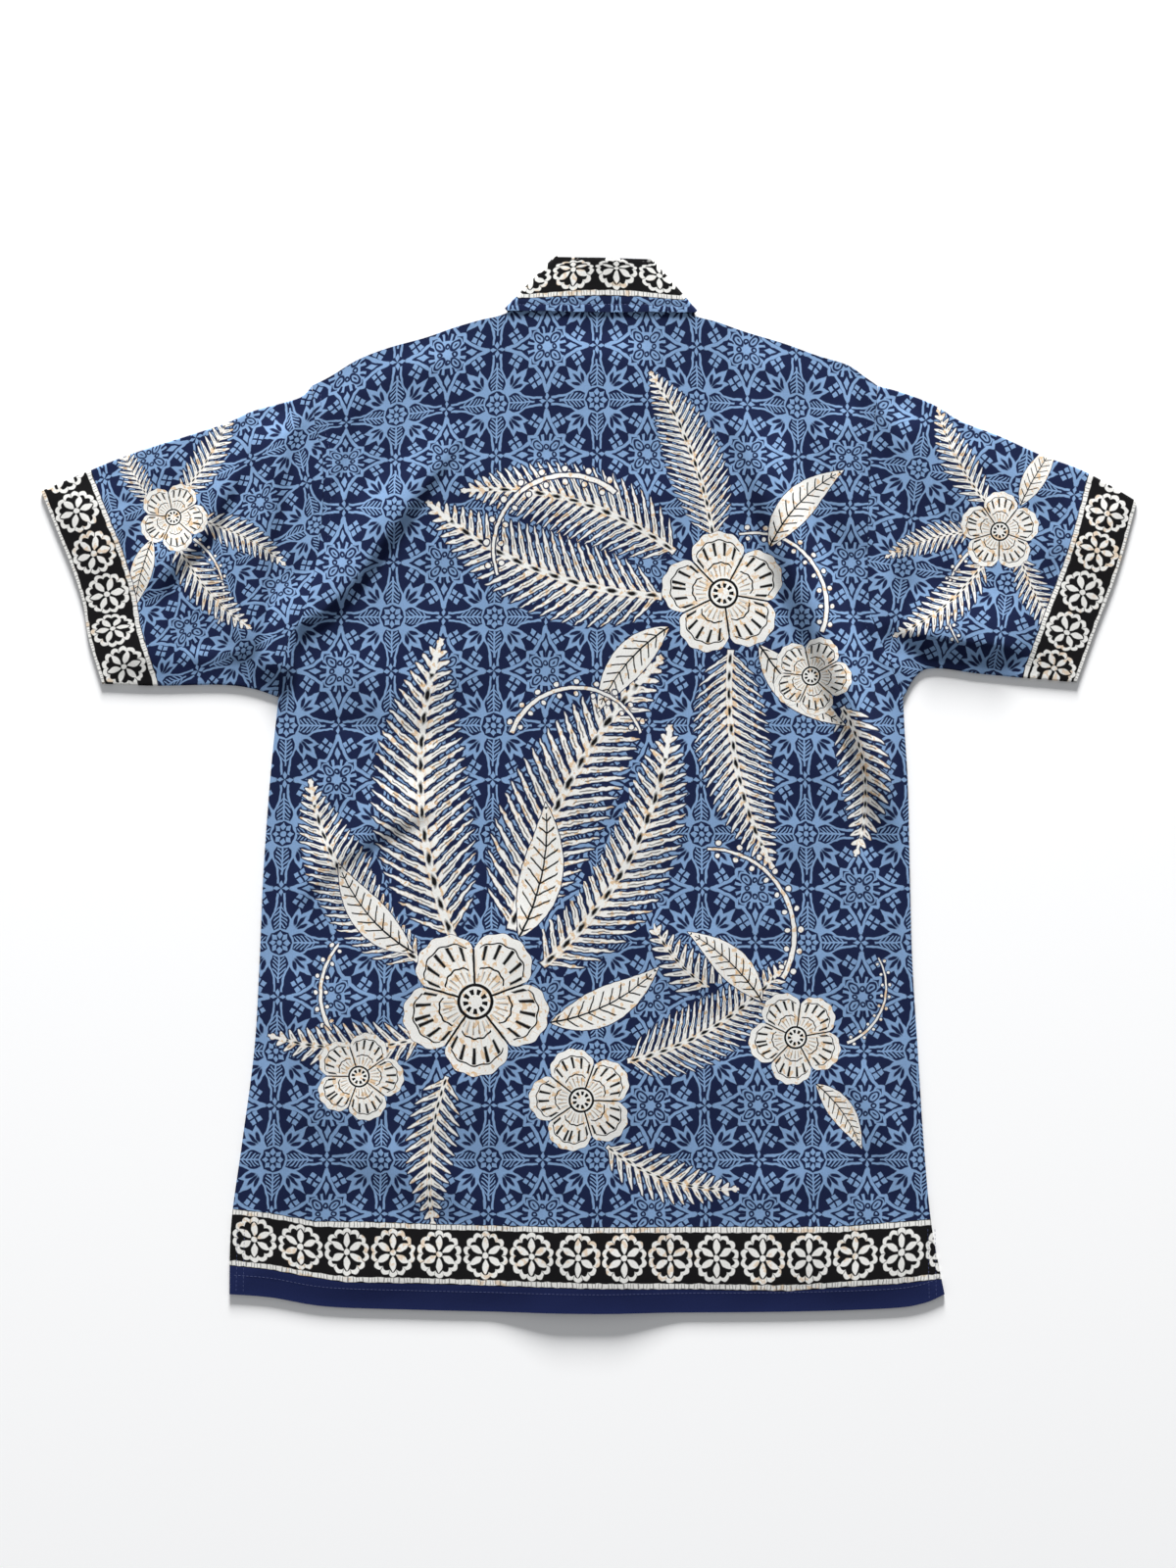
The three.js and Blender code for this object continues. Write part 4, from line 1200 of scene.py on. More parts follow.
def motif_print(chart, t):
    """The leaves and flowers of one layer: whole shape, dark lines and amber lines, below zero."""
    kind = whole(chart * (1 / KIND_STEP))
    s = chart - kind * KIND_STEP
    short = s.node("GREATER_THAN", SHORT_MARK - 1.0)
    s = s - short * SHORT_MARK
    side = size_of(t)
    ends = high(s - 1.0, -s)
    # Frond: leaflets on both sides of a stem, with dots along it
    swell = high(sine(power(high(s, 0.0), FROND_SKEW) * math.pi), 0.0)
    reach = power(swell, FROND_FULLNESS) * FROND_WIDTH + 0.0001
    out = side / reach
    leaflets = LEAFLETS - short * (LEAFLETS - SHORT_LEAFLETS)
    phase = part((s - side * 0.75) * leaflets) - 0.5
    half = root(high(1.0 - out * out, 0.0)) * 0.20 + (1.0 - out) * 0.13
    leaflet = high((size_of(phase) - half) * 0.040, side - reach, ends)
    stem = high(side - 0.014 + s * 0.006, ends)
    off = unlike(kind, FROND)
    shape = low(leaflet, stem) + off
    bead = oval((part(s * STEM_DOTS) - 0.5) * (1 / STEM_DOTS), side, 0.0, 0.0, 0.021, 0.0075)
    notch = high(size_of(phase) * 0.040 - 0.0019, size_of(out - 0.42) * FROND_WIDTH - 0.026)
    cut = high(low(bead, notch), s - 0.88) + off
    tint = high(size_of(side - 0.016) - 0.0016, out - 0.9) + off
    # Leaf: one blade with a midrib and side veins
    reach = sine(power(high(s, 0.0), LEAF_SKEW) * math.pi) * LEAF_WIDTH
    off = unlike(kind, LEAF)
    shape = low(shape, high(side - reach, ends) + off)
    ribs = high((size_of(part((s - side * 0.9) * 11.0) - 0.5) - 0.085) * 0.08, side - reach * 0.74)
    cut = low(cut, low(ribs, high(side - 0.0085 + s * 0.004, s - 0.92)) + off)
    tint = low(tint, size_of(side - 0.018) - 0.002 + off)
    # Blossom: five petals, veins, a ring and seeds
    r = root(s * s + t * t)
    turn = angle_of(t, s)
    lobe = size_of(sine(turn * 2.5))
    rim = power(lobe, 0.5) * 0.34 + 0.62 + sine(turn * 25.0) * 0.012
    off = unlike(kind, BLOSSOM)
    shape = low(shape, r - rim + off)
    parting = high(lobe * r * 0.4 - 0.014, 0.2 - r)
    heart = high(size_of(r - rim * 0.50) - 0.012, 0.40 - lobe)
    brim = high(size_of(r - rim * 0.86) - 0.010, 0.30 - lobe)
    veins = high(sine(turn * 32.5) * 0.016 * r + r * 0.0035 + 0.004, r - rim * 0.50 + 0.05, 0.27 - r)
    combs = high(sine(turn * 27.5 + 1.5) * 0.016 * r + r * 0.010, r - rim * 0.84, rim * 0.62 - r)
    eye = size_of(r - 0.215) - 0.020
    seeds = high(size_of(r - 0.125) - 0.035, sine(turn * 9.0) * -0.06 - 0.01)
    cut = low(cut, low(parting, heart, eye, seeds, brim, veins, combs) + off)
    streak = high(sine(turn * 27.5) * -0.05 + r * 0.05 + 0.020, 0.26 - r, r - rim * 0.90)
    tint = low(tint, streak * 0.5 + off)
    # Tendril: a thin stem with berries
    berry = dot((part(s * BERRIES) - 0.5) * (1 / BERRIES), side, 0.0, 0.036, 0.014)
    curl = high(low(side - 0.013 + s * 0.007, berry), ends)
    return low(shape, curl + unlike(kind, TENDRIL)), cut, tint


# Materials

def linear(r, g, b):
    """A colour given in 8-bit sRGB, as shader values."""
    def one(v):
        v /= 255
        return v / 12.92 if v <= 0.04045 else ((v + 0.055) / 1.055) ** 2.4

    return (one(r), one(g), one(b), 1.0)


def add_node(tree, kind, settings=None, **inputs):
    """A node with its settings, and values or links at its inputs."""
    node = tree.nodes.new(kind)
    for key, value in (settings or {}).items():
        setattr(node, key, value)
    for key, value in inputs.items():
        socket = node.inputs[key.replace("_", " ")]
        if isinstance(value, Num):
            tree.links.new(value.socket, socket)
        elif isinstance(value, bpy.types.NodeSocket):
            tree.links.new(value, socket)
        else:
            socket.default_value = value
    return node


def inked(tree, amount, under, over):
    """Colour `over` laid on `under` by an amount from 0 to 1."""
    node = add_node(tree, "ShaderNodeMix", {"data_type": "RGBA"})
    tree.links.new(amount.socket, node.inputs[0])
    for value, socket in ((under, node.inputs[6]), (over, node.inputs[7])):
        if isinstance(value, bpy.types.NodeSocket):
            tree.links.new(value, socket)
        else:
            socket.default_value = value
    return node.outputs[2]


def uv_numbers(tree, name):
    """The two values of a UV map."""
    split = add_node(tree, "ShaderNodeSeparateXYZ")
    tree.links.new(add_node(tree, "ShaderNodeUVMap", {"uv_map": name}).outputs[0], split.inputs[0])
    return Num(tree, split.outputs[0]), Num(tree, split.outputs[1])


def new_material(name):
    """A material with only a shader."""
    material = bpy.data.materials.new(name)
    material.use_nodes = True
    tree = material.node_tree
    tree.nodes.clear()
    shader = add_node(tree, "ShaderNodeBsdfPrincipled")
    output = add_node(tree, "ShaderNodeOutputMaterial")
    tree.links.new(shader.outputs[0], output.inputs[0])
    return material, tree, shader


def shade_by(tree, shader, colour, texture, darkest, lightest):
    """The colour, made darker and lighter by a texture."""
    tone = add_node(tree, "ShaderNodeMapRange", Value=texture, To_Min=darkest, To_Max=lightest)
    shade = add_node(tree, "ShaderNodeHueSaturation", Color=tuple(colour), Value=tone.outputs[0])
    tree.links.new(shade.outputs[0], shader.inputs["Base Color"])


def relief(tree, shader, height, strength, distance):
    """Fine relief in a surface."""
    bump = add_node(tree, "ShaderNodeBump", Strength=strength, Distance=distance, Height=height)
    tree.links.new(bump.outputs[0], shader.inputs["Normal"])


def flat_noise(tree, place, scale, detail):
    """Noise in the cloth's own plane."""
    plane = {"noise_dimensions": "2D"}
    return add_node(tree, "ShaderNodeTexNoise", plane, Vector=place, Scale=scale, Detail=detail)


def thread_material(context):
    """Twisted cotton thread."""
    done = bpy.data.materials.get("Thread")
    if done:
        return done
    material, tree, shader = new_material("Thread")
    place = add_node(tree, "ShaderNodeTexCoord").outputs["Object"]
    twist = add_node(tree, "ShaderNodeTexWave", Vector=place, Scale=900.0, Distortion=2.0).outputs[1]
    shade_by(tree, shader, context.scene.shirt_trim.thread, twist, 0.75, 1.15)
    relief(tree, shader, twist, 0.4, 0.0001)
    shader.inputs["Roughness"].default_value = 0.7
    return material


def button_material(context):
    """Clouded dark blue resin."""
    material, tree, shader = new_material("Button")
    place = add_node(tree, "ShaderNodeTexCoord").outputs["Object"]
    cloud = add_node(tree, "ShaderNodeTexNoise", Vector=place, Scale=420.0, Detail=3.0).outputs[0]
    shade_by(tree, shader, context.scene.shirt_trim.button, cloud, 0.75, 1.3)
    relief(tree, shader, cloud, 0.15, 0.0001)
    shader.inputs["Roughness"].default_value = 0.32
    shader.inputs["Coat Weight"].default_value = 0.2
    return material


def floor_material(context):
    """Matt paper, nearly white."""
    material, tree, shader = new_material("Floor")
    grain = add_node(tree, "ShaderNodeTexNoise", Scale=3.0, Detail=2.0).outputs[0]
    shade_by(tree, shader, context.scene.shirt_stage.floor, grain, 0.98, 1.0)
    shader.inputs["Roughness"].default_value = 0.9
    return material


def ink(value, soft):
    """1 inside a shape and 0 outside, with an edge this soft."""
    return (0.5 - value * (1 / soft)).node("MAXIMUM", 0.0).node("MINIMUM", 1.0)


# How far the hand-drawn lines stray: in repeats, in shares of a motif, along and across the border
LATTICE_STRAY = 0.022
MOTIF_STRAY = 0.010
BORDER_STRAY = 0.045
BEAD_STRAY = 1.6
# Where the border and the strip below it start, past the beaded lines
BORDER_EDGE = 2.6
# Threads in a repeat of the lattice, as an angle
WEAVE = 760.0


def batik_material(name, colours, with_motifs):
    """Printed cotton: lattice, border, navy strip and, where asked, leaves and flowers."""
    material, tree, shader = new_material(name)
    place = add_node(tree, "ShaderNodeTexCoord").outputs["Object"]
    blue, navy, ivory, black, amber, strip = colours
    # Hand-drawn unevenness of every line
    wobble = flat_noise(tree, place, 160.0, 1.0)
    shift = add_node(tree, "ShaderNodeSeparateXYZ")
    tree.links.new(wobble.outputs["Color"], shift.inputs[0])
    shift_x, shift_y = Num(tree, shift.outputs[0]) - 0.5, Num(tree, shift.outputs[1]) - 0.5
    # Uneven dye, the threads' fluff, cracks in the wax and drops on it
    patchy = Num(tree, flat_noise(tree, place, 24.0, 3.0).outputs[0])
    fine = Num(tree, flat_noise(tree, place, 900.0, 1.0).outputs[0])
    cells = {"voronoi_dimensions": "2D", "feature": "DISTANCE_TO_EDGE"}
    cracks = add_node(tree, "ShaderNodeTexVoronoi", cells, Vector=place, Scale=130.0)
    crackle = Num(tree, cracks.outputs[0])
    spots = Num(tree, flat_noise(tree, place, 190.0, 2.0).outputs[0])
    stains = ink(0.70 - spots - patchy * 0.14, 0.03)
    # Lattice
    a, b = uv_numbers(tree, "Lattice")
    light = lattice_print(a + shift_x * LATTICE_STRAY, b + shift_y * LATTICE_STRAY)
    colour = inked(tree, ink(light + (patchy - 0.5) * 0.006, 0.007), navy, blue)
    if with_motifs:
        for map_name in reversed(CHARTS):
            s, t = uv_numbers(tree, map_name)
            shape, cut, tint = motif_print(s + shift_x * MOTIF_STRAY, t + shift_y * MOTIF_STRAY)
            aged = ink(0.52 - patchy, 0.06) * ink(crackle - 0.014, 0.02)
            wax = inked(tree, aged * 0.65 + stains * 0.6, ivory, amber)
            wax = inked(tree, ink(tint, 0.008) * 0.45, wax, amber)
            wax = inked(tree, ink(cut, 0.005), wax, black)
            colour = inked(tree, ink(shape - 0.007, 0.004), colour, navy)
            colour = inked(tree, ink(shape, 0.004), colour, wax)
    # Border
    u, w = uv_numbers(tree, "Border")
    light = border_print(u + shift_x * BORDER_STRAY, w + shift_y * BEAD_STRAY)
    cream = inked(tree, ink(0.56 - patchy, 0.05) * ink(spots - 0.45, 0.1) * 0.45, ivory, amber)
    band = inked(tree, ink(light, 0.6), black, cream)
    band = inked(tree, ink(BAND + BORDER_EDGE - w, 0.4), band, strip)
    colour = inked(tree, ink(-BORDER_EDGE - w, 0.4), colour, band)
    # Uneven dye and the threads' own colour
    worn = add_node(tree, "ShaderNodeHueSaturation", Color=colour)
    tree.links.new((patchy * 0.20 + fine * 0.24 + 0.79).socket, worn.inputs["Value"])
    tree.links.new(worn.outputs[0], shader.inputs["Base Color"])
    # Plain weave, with the lattice's threads
    warp, weft = sine(a * WEAVE), sine(b * WEAVE)
    relief(tree, shader, warp * weft * 0.5 + fine * 0.8, 0.35, 0.0002)
    shader.inputs["Roughness"].default_value = 0.88
    shader.inputs["Sheen Weight"].default_value = 0.04
    shader.inputs["Sheen Roughness"].default_value = 0.5
    shader.inputs["Specular IOR Level"].default_value = 0.12
    return material


# Settings

class ShirtCloth(PropertyGroup):
    """Sizes and colours of the printed cloth."""

    thickness: FloatProperty(
        name="Cloth", description="Thickness of the cloth", default=0.0009, min=0.0004, max=0.0012,
        unit="LENGTH",
    )
    fold: FloatProperty(
        name="Folds", description="Height of the folds, as a share of the table's", default=1.2, min=0,
        max=2,
    )
    swell: FloatProperty(
        name="Swell", description="Height of the slow swells of loose cloth", default=0.0022,
        unit="LENGTH",
    )
    blue: FloatVectorProperty(
        name="Blue", description="Light blue of the lattice", subtype="COLOR", size=4,
        default=linear(122, 152, 190),
    )
    navy: FloatVectorProperty(
        name="Navy", description="Ground of the lattice", subtype="COLOR", size=4,
        default=linear(17, 28, 62),
    )
    ivory: FloatVectorProperty(
        name="Ivory", description="Undyed cloth of flowers and rosettes", subtype="COLOR", size=4,
        default=linear(228, 227, 223),
    )
    black: FloatVectorProperty(
        name="Black", description="Ground of the border", subtype="COLOR", size=4,
        default=linear(14, 13, 15),
    )
    amber: FloatVectorProperty(
        name="Amber", description="Tint in the wax cracks", subtype="COLOR", size=4,
        default=linear(208, 163, 96),
    )
    strip: FloatVectorProperty(
        name="Strip", description="Plain strip along the hem", subtype="COLOR", size=4,
        default=linear(24, 34, 76),
    )


class ShirtTrim(PropertyGroup):
    """Buttons and thread."""

    button: FloatVectorProperty(
        name="Button", description="Colour of the buttons", subtype="COLOR", size=4,
        default=linear(34, 44, 72),
    )
    thread: FloatVectorProperty(
        name="Thread", description="Colour of the stitches", subtype="COLOR", size=4,
        default=linear(62, 72, 116),
    )
    stitch: FloatProperty(
        name="Stitch", description="Length of one stitch", default=0.0024, min=0.001, max=0.005,
        unit="LENGTH",
    )


class ShirtStage(PropertyGroup):
    """Floor, lights and camera."""

    floor: FloatVectorProperty(
        name="Floor", description="Colour of the floor", subtype="COLOR", size=4,
        default=(0.97, 0.97, 0.97, 1),
    )
    height: FloatProperty(
        name="Camera", description="Height of the camera over the shirt", default=3.2, unit="LENGTH"
    )
    across: FloatProperty(
        name="View", description="Height of the view on the floor", default=1.216, unit="LENGTH"
    )


def cloth_colours(props):
    """The colours of the dyes, as batik_material takes them."""
    return [tuple(getattr(props, k)) for k in ("blue", "navy", "ivory", "black", "amber", "strip")]


def cloth_material(context, name, with_motifs=False):
    return bpy.data.materials.get(name) or batik_material(
        name, cloth_colours(context.scene.shirt_cloth), with_motifs
    )


def body_maps(grid):
    """The print's maps on the back and fronts."""
    return {"Lattice": body_lattice(grid), "Border": hem_border(grid)}


# Steps of the meshes along a side seam, an armhole, a shoulder and the neck
BACK_STEPS = (136, 76, 60, 30)
FRONT_STEPS = (96, 52, 38, 18)
# Steps across a sleeve's layer and along it, and the faces that a motif takes past its folds
SLEEVE_STEPS = (74, 54)
FOLD_FACES = 4

# Stitching, as distances from the edge or seam
HEM_STITCH = 15
PLACKET_STITCH = 28
EDGE_STITCH = 2.5
CUFF_STITCH = 41.5
COLLAR_STITCH = 6
SEAM_STITCH = 6
SEAM_STITCH_LIFT = 0.15
SEAM_RIDGE = 0.4
SEAM_DENT = 0.22
COLLAR_GROOVE = 0.30
# The vents' stitches: where their rows start, and how they lean out to the hem
VENT_STITCHES_X = (-272.5, -267.0, 268.0, 262.5)
VENT_TOP = -344
VENT_LEAN = 0.02


def seam_ridge(away):
    """The lift of the felled edges beside a seam, with the dent of its stitches."""
    felled = ramp(0, 1.5, away) * ramp(SEAM_STITCH + 2.5, SEAM_STITCH + 0.5, away)
    return SEAM_RIDGE * felled - SEAM_DENT * np.exp(-(((away - SEAM_STITCH) / 0.9) ** 2))


class SHIRT_OT_back(Operator):
    """Cut the back with its folds and hem border"""

    bl_idname = "shirt.back"
    bl_label = "Back"

    def execute(self, context):
        props = context.scene.shirt_cloth
        grid = back_grid(*BACK_STEPS)
        seams = spline(ARMHOLES_LEFT), spline(ARMHOLES_RIGHT)
        away = np.minimum(*(path_distance(grid, seam)[0] for seam in seams))
        middle = raised(grid, back_lift(grid, props) + seam_ridge(away) + HALF)
        maps = {**body_maps(grid), **motif_charts(grid, BACK_MOTIFS)}
        obj = cloth_sheet("back_cloth", middle, props.thickness, maps)
        dress(obj, "back", cloth_material(context, "Batik with flowers", True))
        hem_x = np.linspace(HEM[0][0] + 3, HEM[-1][0] - 3, 180)
        paths = [hem_at(hem_x) + (0, HEM_STITCH)]
        for x in VENT_STITCHES_X:
            y = np.linspace(VENT_TOP, float(hem_at(x)[1]) + 2, 30)
            paths.append(np.stack([x + (VENT_TOP - y) * VENT_LEAN * np.sign(x), y], axis=1))
        rows = [on_top(path, back_lift(path, props), props) for path in paths]
        for seam, way in zip(seams, (-1, 1)):
            path = moved(resample(seam, 80), way * SEAM_STITCH)[2:-2]
            rows.append(on_top(path, back_lift(path, props) + SEAM_STITCH_LIFT, props))
        thread = stitches(context, "back_stitches", rows)
        return {"FINISHED"}


class SHIRT_OT_fronts(Operator):
    """Cut the two fronts, which lie underneath"""

    bl_idname = "shirt.fronts"
    bl_label = "Fronts"

    def execute(self, context):
        props = context.scene.shirt_cloth
        for which, lift in (("left", left_front_lift), ("right", right_front_lift)):
            grid, edge = front_grid(which, *FRONT_STEPS)
            middle = raised(grid, lift(grid) + HALF)
            obj = cloth_sheet("front_" + which + "_cloth", middle, props.thickness, body_maps(grid))
            dress(obj, "front_" + which, cloth_material(context, "Batik"))
            inward = -1 if which == "left" else 1
            hem_x = np.linspace(grid[0, 2, 0], grid[0, -3, 0], 90)
            hem = hem_at(hem_x) + (0, HEM_STITCH + FRONT_HEM_INSET)
            placket = edge[2:-2] + (inward * PLACKET_STITCH, 0)
            near = edge[2:-2] + (inward * EDGE_STITCH, 0)
            rows = [beneath(line, lift(line), props) for line in (hem, placket, near)]
            thread = stitches(context, "front_" + which + "_stitches", rows)
        return {"FINISHED"}


class SHIRT_OT_sleeves(Operator):
    """Cut the two sleeves, flat tubes with a cuff border"""

    bl_idname = "shirt.sleeves"
    bl_label = "Sleeves"

    def execute(self, context):
        props = context.scene.shirt_cloth
        for which in ("left", "right"):
            sections = sleeve_sections(which, *SLEEVE_STEPS)
            lift = back_lift(sections, props)
            middle = np.array([sleeve_ring(s, z) for s, z in zip(sections, lift)])
            flat = middle[..., :2]
            maps = {"Lattice": sleeve_lattice(flat, which), "Border": cuff_border(flat, which)}
            # The motifs lie on the upper layer alone
            upper = np.zeros((flat.shape[0] - 1, flat.shape[1]), bool)
            upper[:, : SLEEVE_STEPS[0] + FOLD_FACES] = True
            upper[:, -FOLD_FACES:] = True
            for name, layer in motif_charts(flat, SLEEVE_MOTIFS[which]).items():
                maps[name] = [(values, faces & upper) for values, faces in layer]
            obj = cloth_sheet("sleeve_" + which + "_cloth", middle, props.thickness, maps, closed=True)
            material = cloth_material(context, "Batik with flowers", True)
            dress(obj, "sleeve_" + which, material)
            edge = resample(spline(cuff_rows[which]), 60)[2:-2]
            path = moved(edge, CUFF_STITCH if which == "left" else -CUFF_STITCH)
            upper_row = on_top(path, back_lift(path, props), props)
            lower_row = beneath(path, np.zeros(len(path)), props)
            thread = stitches(context, "sleeve_" + which + "_stitches", [upper_row, lower_row])
        return {"FINISHED"}


# Steps of the collar's mesh along its leaves, the bends beside the neck and the back, and the
# points of a section: the fall up to the fold, its roll and the stand
COLLAR_STEPS = (40, 12, 44)
FALL_POINTS = 34
ROLL_POINTS = 10
STAND_POINTS = 12
# The point of a section at the middle of the border
BORDER_POINT = 28
# The collar's print: where one rosette is centred, where the border starts, its repeats
COLLAR_ROSETTE_X = 21.2
COLLAR_BORDER_START = 15.2
COLLAR_ROSETTE_PITCH = 33.4
COLLAR_LATTICE = (80, 84)
# Towards the fold at the back the print closes up, and its upper beads stay off
CLOSED_UP = 11.5
CLOSED_UP_OVER = (-8.5, 0.5)
BORDER_LIMIT = BAND + 2.3
BEADS_LEFT_OFF = 4.5
OFF_BORDER = -40


class SHIRT_OT_collar(Operator):
    """Cut the collar's fall and its stand"""

    bl_idname = "shirt.collar"
    bl_label = "Collar"

    def execute(self, context):
        props = context.scene.shirt_cloth
        rows = collar_rows(*COLLAR_STEPS)
        fall = np.array([fall_section(r, FALL_POINTS, ROLL_POINTS) for r in rows])
        # The topstitching pulls a groove along the edge
        depth = np.linalg.norm(fall[:, :FALL_POINTS] - fall[:, :1], axis=-1)
        groove = COLLAR_GROOVE * np.exp(-(((depth - COLLAR_STITCH) / 1.1) ** 2))
        normals = np.array([r[3] for r in rows])
        fall[:, :FALL_POINTS] -= normals[:, None] * groove[..., None]
        stand = np.array([stand_section(r, STAND_POINTS) for r in rows])
        # One rosette is centred a little right of the middle of the back
        centre_x, centre_z = fall[:, BORDER_POINT, 0], fall[:, BORDER_POINT, 2]
        at_back = ramp(2, 5, centre_z)[:, None]
        off = np.where(at_back[:, 0] > 0.5, np.abs(centre_x - COLLAR_ROSETTE_X), np.inf)
        middle_row = int(np.argmin(off))
        along = np.stack([arc(fall[:, j]) for j in range(fall.shape[1])], axis=1)
        along += fall[middle_row, :, 0] - COLLAR_ROSETTE_X - along[middle_row]
        deep = np.stack([arc(r) for r in fall])
        to_fold = deep - deep[:, FALL_POINTS - 1:FALL_POINTS]
        deep = deep + CLOSED_UP * at_back * ramp(*CLOSED_UP_OVER, to_fold)
        column, line = COLLAR_LATTICE
        border = np.minimum(deep - COLLAR_BORDER_START, BORDER_LIMIT - BEADS_LEFT_OFF * at_back)
        maps = {
            "Lattice": np.stack([along / column, deep / line + 0.31], axis=-1),
            "Border": np.stack([along / COLLAR_ROSETTE_PITCH, border], axis=-1),
        }
        obj = cloth_sheet("collar_fall_cloth", fall, props.thickness, maps)
        dress(obj, "collar_fall", cloth_material(context, "Batik"))
        row = np.array([
            [np.interp(COLLAR_STITCH, depth[i], section[:FALL_POINTS, k]) for k in range(3)]
            for i, section in enumerate(fall)
        ])
        path = row + normals * (props.thickness / MM / 2)
        thread = stitches(context, "collar_stitches", [path])
        along = np.repeat(along[:, BORDER_POINT, None], STAND_POINTS, axis=1)
        deep = np.stack([arc(r) for r in stand])
        maps = {
            "Lattice": np.stack([along / column, deep / line + 0.1], axis=-1),
            "Border": np.stack([along, np.full_like(deep, OFF_BORDER)], axis=-1),
        }
        obj = cloth_sheet("collar_stand_cloth", stand, props.thickness, maps)
        dress(obj, "collar_stand", cloth_material(context, "Batik"))
        return {"FINISHED"}


# A button's rim, its dish, its rounded edge and its holes
BUTTON_RIM = 1.3
DISH_SLOPE = 0.5
DISH_DEPTH = 0.55
BUTTON_ROUND = 0.22
HOLE_RADIUS = 0.85
# The thread over a pair of holes: y from the button's middle, and height
BUTTON_STITCH = ((-1.5, 0.62), (0, 0.48), (1.5, 0.62))


class SHIRT_OT_buttons(Operator):
    """Turn the buttons and sew them on"""

    bl_idname = "shirt.buttons"
    bl_label = "Buttons"

    def execute(self, context):
        material = button_material(context)
        pattern = self.turned(context)
        rows = []
        for k in range(BUTTON_COUNT):
            y = BUTTON_FIRST_Y - k * BUTTON_PITCH
            x = -float(from_centre(0, y))
            deselect()
            obj = pattern.copy()
            obj.data = pattern.data.copy()
            obj.name = obj.data.name = "button_%d_disc" % (k + 1)
            obj.location = (x * MM, y * MM, 0)
            context.collection.objects.link(obj)
            obj.select_set(True)
            context.view_layer.objects.active = obj
            bpy.ops.object.transform_apply(location=True, rotation=False, scale=False)
            dress(obj, "button_%d" % (k + 1), material)
            for side in (-HOLE_OFFSET, HOLE_OFFSET):
                rows.append([(x + side, y + off, z) for off, z in BUTTON_STITCH])
        bpy.data.objects.remove(pattern)
        stitches(context, "button_thread", rows, width=0.7, length=1.5, pitch=1.4)
        return {"FINISHED"}

    def turned(self, context):
        """One button: a dished disc with four holes, its face down."""
        deselect()
        bpy.ops.mesh.primitive_cylinder_add(
            vertices=40, radius=BUTTON_RADIUS * MM, depth=BUTTON_THICK * MM,
            location=(0, 0, BUTTON_THICK / 2 * MM),
        )
        obj = context.object
        bpy.ops.object.transform_apply(location=True, rotation=False, scale=False)
        bpy.ops.object.mode_set(mode="EDIT")
        bpy.ops.mesh.select_all(action="DESELECT")
        edit = bmesh.from_edit_mesh(obj.data)
        for face in edit.faces:
            face.select = face.normal.z < -0.9
        bmesh.update_edit_mesh(obj.data)
        bpy.ops.mesh.inset(thickness=BUTTON_RIM * MM, depth=0)
        bpy.ops.mesh.inset(thickness=DISH_SLOPE * MM, depth=-DISH_DEPTH * MM)
        bpy.ops.object.mode_set(mode="OBJECT")
        apply_modifier(obj, "BEVEL", width=BUTTON_ROUND * MM, segments=2, limit_method="ANGLE")
        for sx, sy in ((-1, -1), (1, -1), (1, 1), (-1, 1)):
            bpy.ops.mesh.primitive_cylinder_add(
                vertices=14, radius=HOLE_RADIUS * MM, depth=3 * BUTTON_THICK * MM,
                location=(sx * HOLE_OFFSET * MM, sy * HOLE_OFFSET * MM, BUTTON_THICK / 2 * MM),
            )
            drill = context.object
            drill.select_set(False)
            apply_modifier(obj, "BOOLEAN", operation="DIFFERENCE", object=drill, solver="EXACT")
            bpy.data.objects.remove(drill)
        deselect()
        obj.select_set(True)
        bpy.ops.object.shade_smooth_by_angle(angle=math.radians(35))
        return obj


# The stage, in metres: lights by name, size, watts, place and aim
LIGHTS = (
    ("key", 1.8, 1460, (0.0, 7.0, 1.95), (0, 0, 0)),
    ("fill", 3.0, 8, (-2.6, -1.2, 2.6), (0, -0.2, 0)),
)
FLOOR_SIZE = 9
FLOOR_Z = -0.0004
SKY_COLOUR = (0.95, 0.97, 1.0, 1)
SKY_STRENGTH = 0.31
CAMERA_X = -0.0008
CAMERA_Y = 0.0004


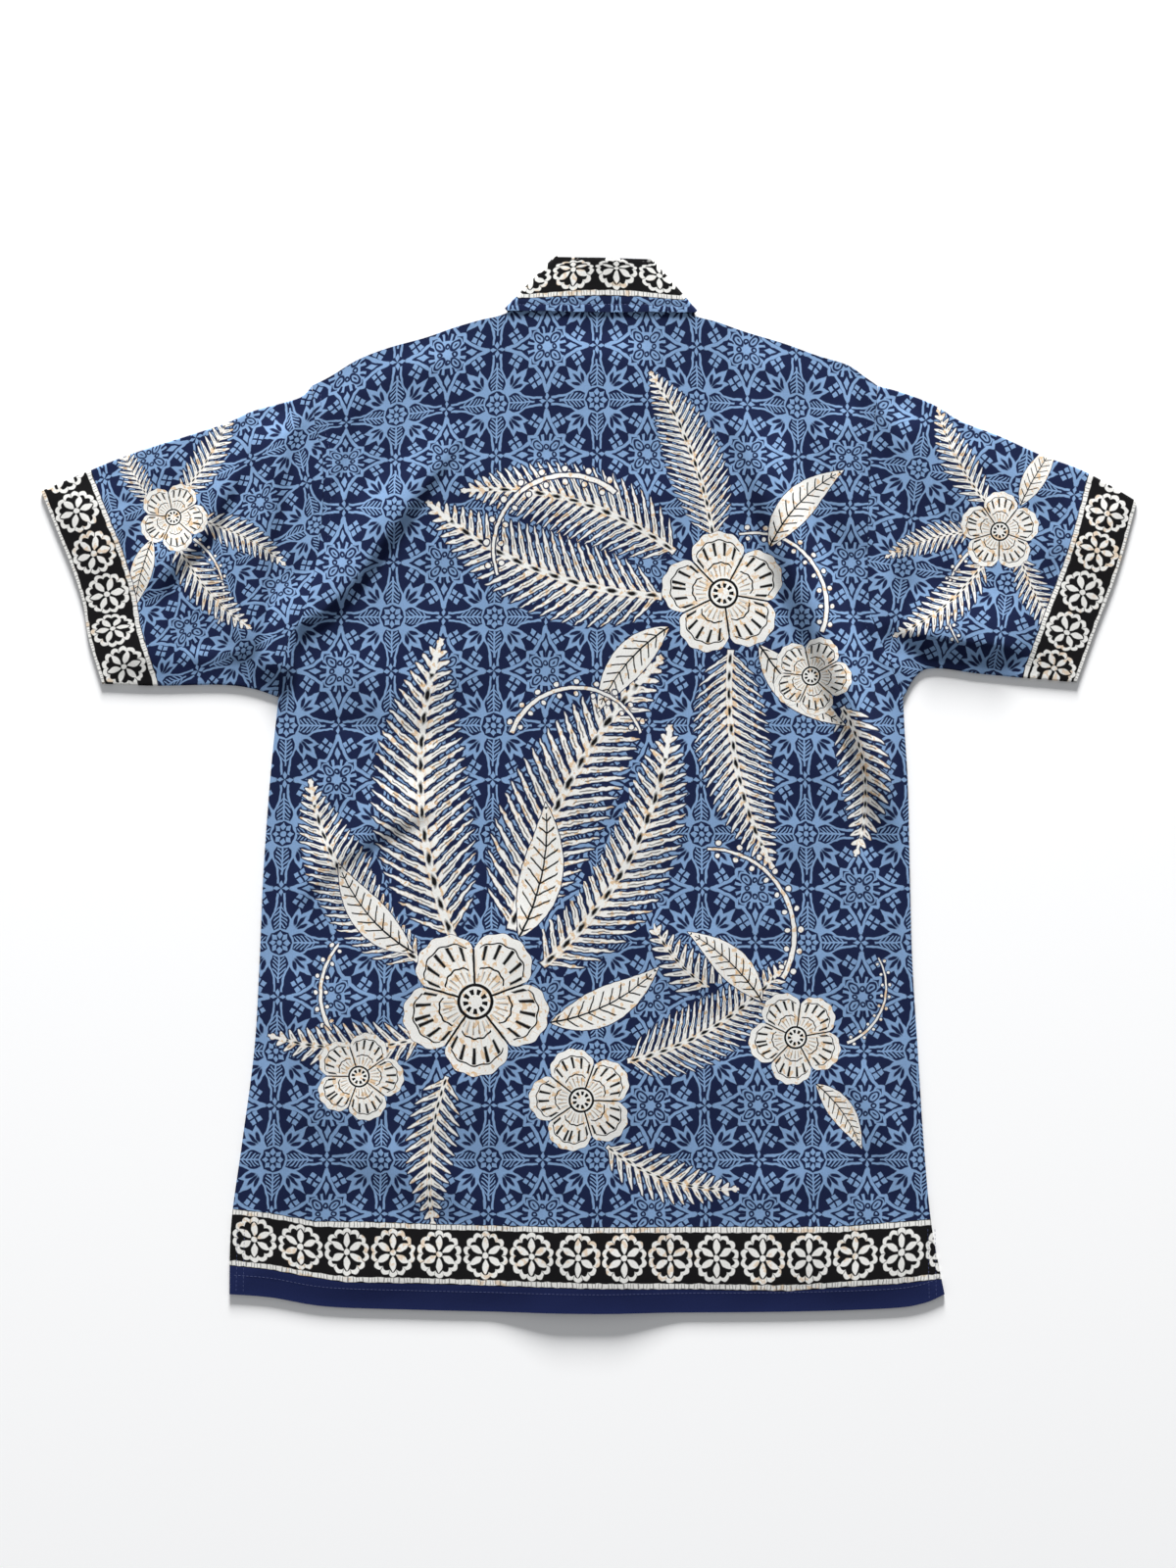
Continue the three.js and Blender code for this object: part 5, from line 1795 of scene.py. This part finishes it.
class SHIRT_OT_stage(Operator):
    """Lay the floor and set the lights and the camera"""

    bl_idname = "shirt.stage"
    bl_label = "Stage"

    def execute(self, context):
        props = context.scene.shirt_stage
        deselect()
        bpy.ops.mesh.primitive_plane_add(size=FLOOR_SIZE, location=(0, 0, FLOOR_Z))
        floor = context.object
        floor.name = "floor"
        floor.data.materials.append(floor_material(context))
        world = context.scene.world or bpy.data.worlds.new("World")
        context.scene.world = world
        world.use_nodes = True
        sky = world.node_tree.nodes["Background"]
        sky.inputs["Color"].default_value = SKY_COLOUR
        sky.inputs["Strength"].default_value = SKY_STRENGTH
        context.scene.view_settings.view_transform = "Standard"
        for name, size, watts, at, aim in LIGHTS:
            bpy.ops.object.light_add(type="AREA", location=at)
            light = context.object
            light.name = name
            light.data.size = size
            light.data.energy = watts
            direction = Vector(aim) - Vector(at)
            light.rotation_euler = direction.to_track_quat("-Z", "Y").to_euler()
        bpy.ops.object.camera_add(location=(CAMERA_X, CAMERA_Y, props.height), rotation=(0, 0, 0))
        camera = context.object
        camera.data.lens = camera.data.sensor_width * props.height / props.across
        camera.data.clip_end = 50
        context.scene.camera = camera
        return {"FINISHED"}


class SHIRT_PT_panel(Panel):
    """Lists the steps that build the shirt"""

    bl_label = "Batik shirt"
    bl_idname = "SHIRT_PT_panel"
    bl_space_type = "VIEW_3D"
    bl_region_type = "UI"
    bl_category = "Shirt"

    def draw(self, context):
        layout = self.layout
        for group in ("shirt_cloth", "shirt_trim", "shirt_stage"):
            settings = getattr(context.scene, group)
            box = layout.box()
            for key in settings.__annotations__:
                box.prop(settings, key)
        for step in STEPS:
            layout.operator(step.bl_idname)


GROUPS = {"shirt_cloth": ShirtCloth, "shirt_trim": ShirtTrim, "shirt_stage": ShirtStage}
STEPS = (
    SHIRT_OT_back, SHIRT_OT_fronts, SHIRT_OT_sleeves, SHIRT_OT_collar, SHIRT_OT_buttons, SHIRT_OT_stage,
)
CLASSES = (*GROUPS.values(), *STEPS, SHIRT_PT_panel)


def register():
    for cls in CLASSES:
        bpy.utils.register_class(cls)
    for name, group in GROUPS.items():
        setattr(bpy.types.Scene, name, PointerProperty(type=group))


def unregister():
    for name in GROUPS:
        delattr(bpy.types.Scene, name)
    for cls in reversed(CLASSES):
        bpy.utils.unregister_class(cls)


def main():
    register()
    for step in STEPS:
        group, action = step.bl_idname.split(".")
        getattr(getattr(bpy.ops, group), action)()


if __name__ == "__main__":
    main()
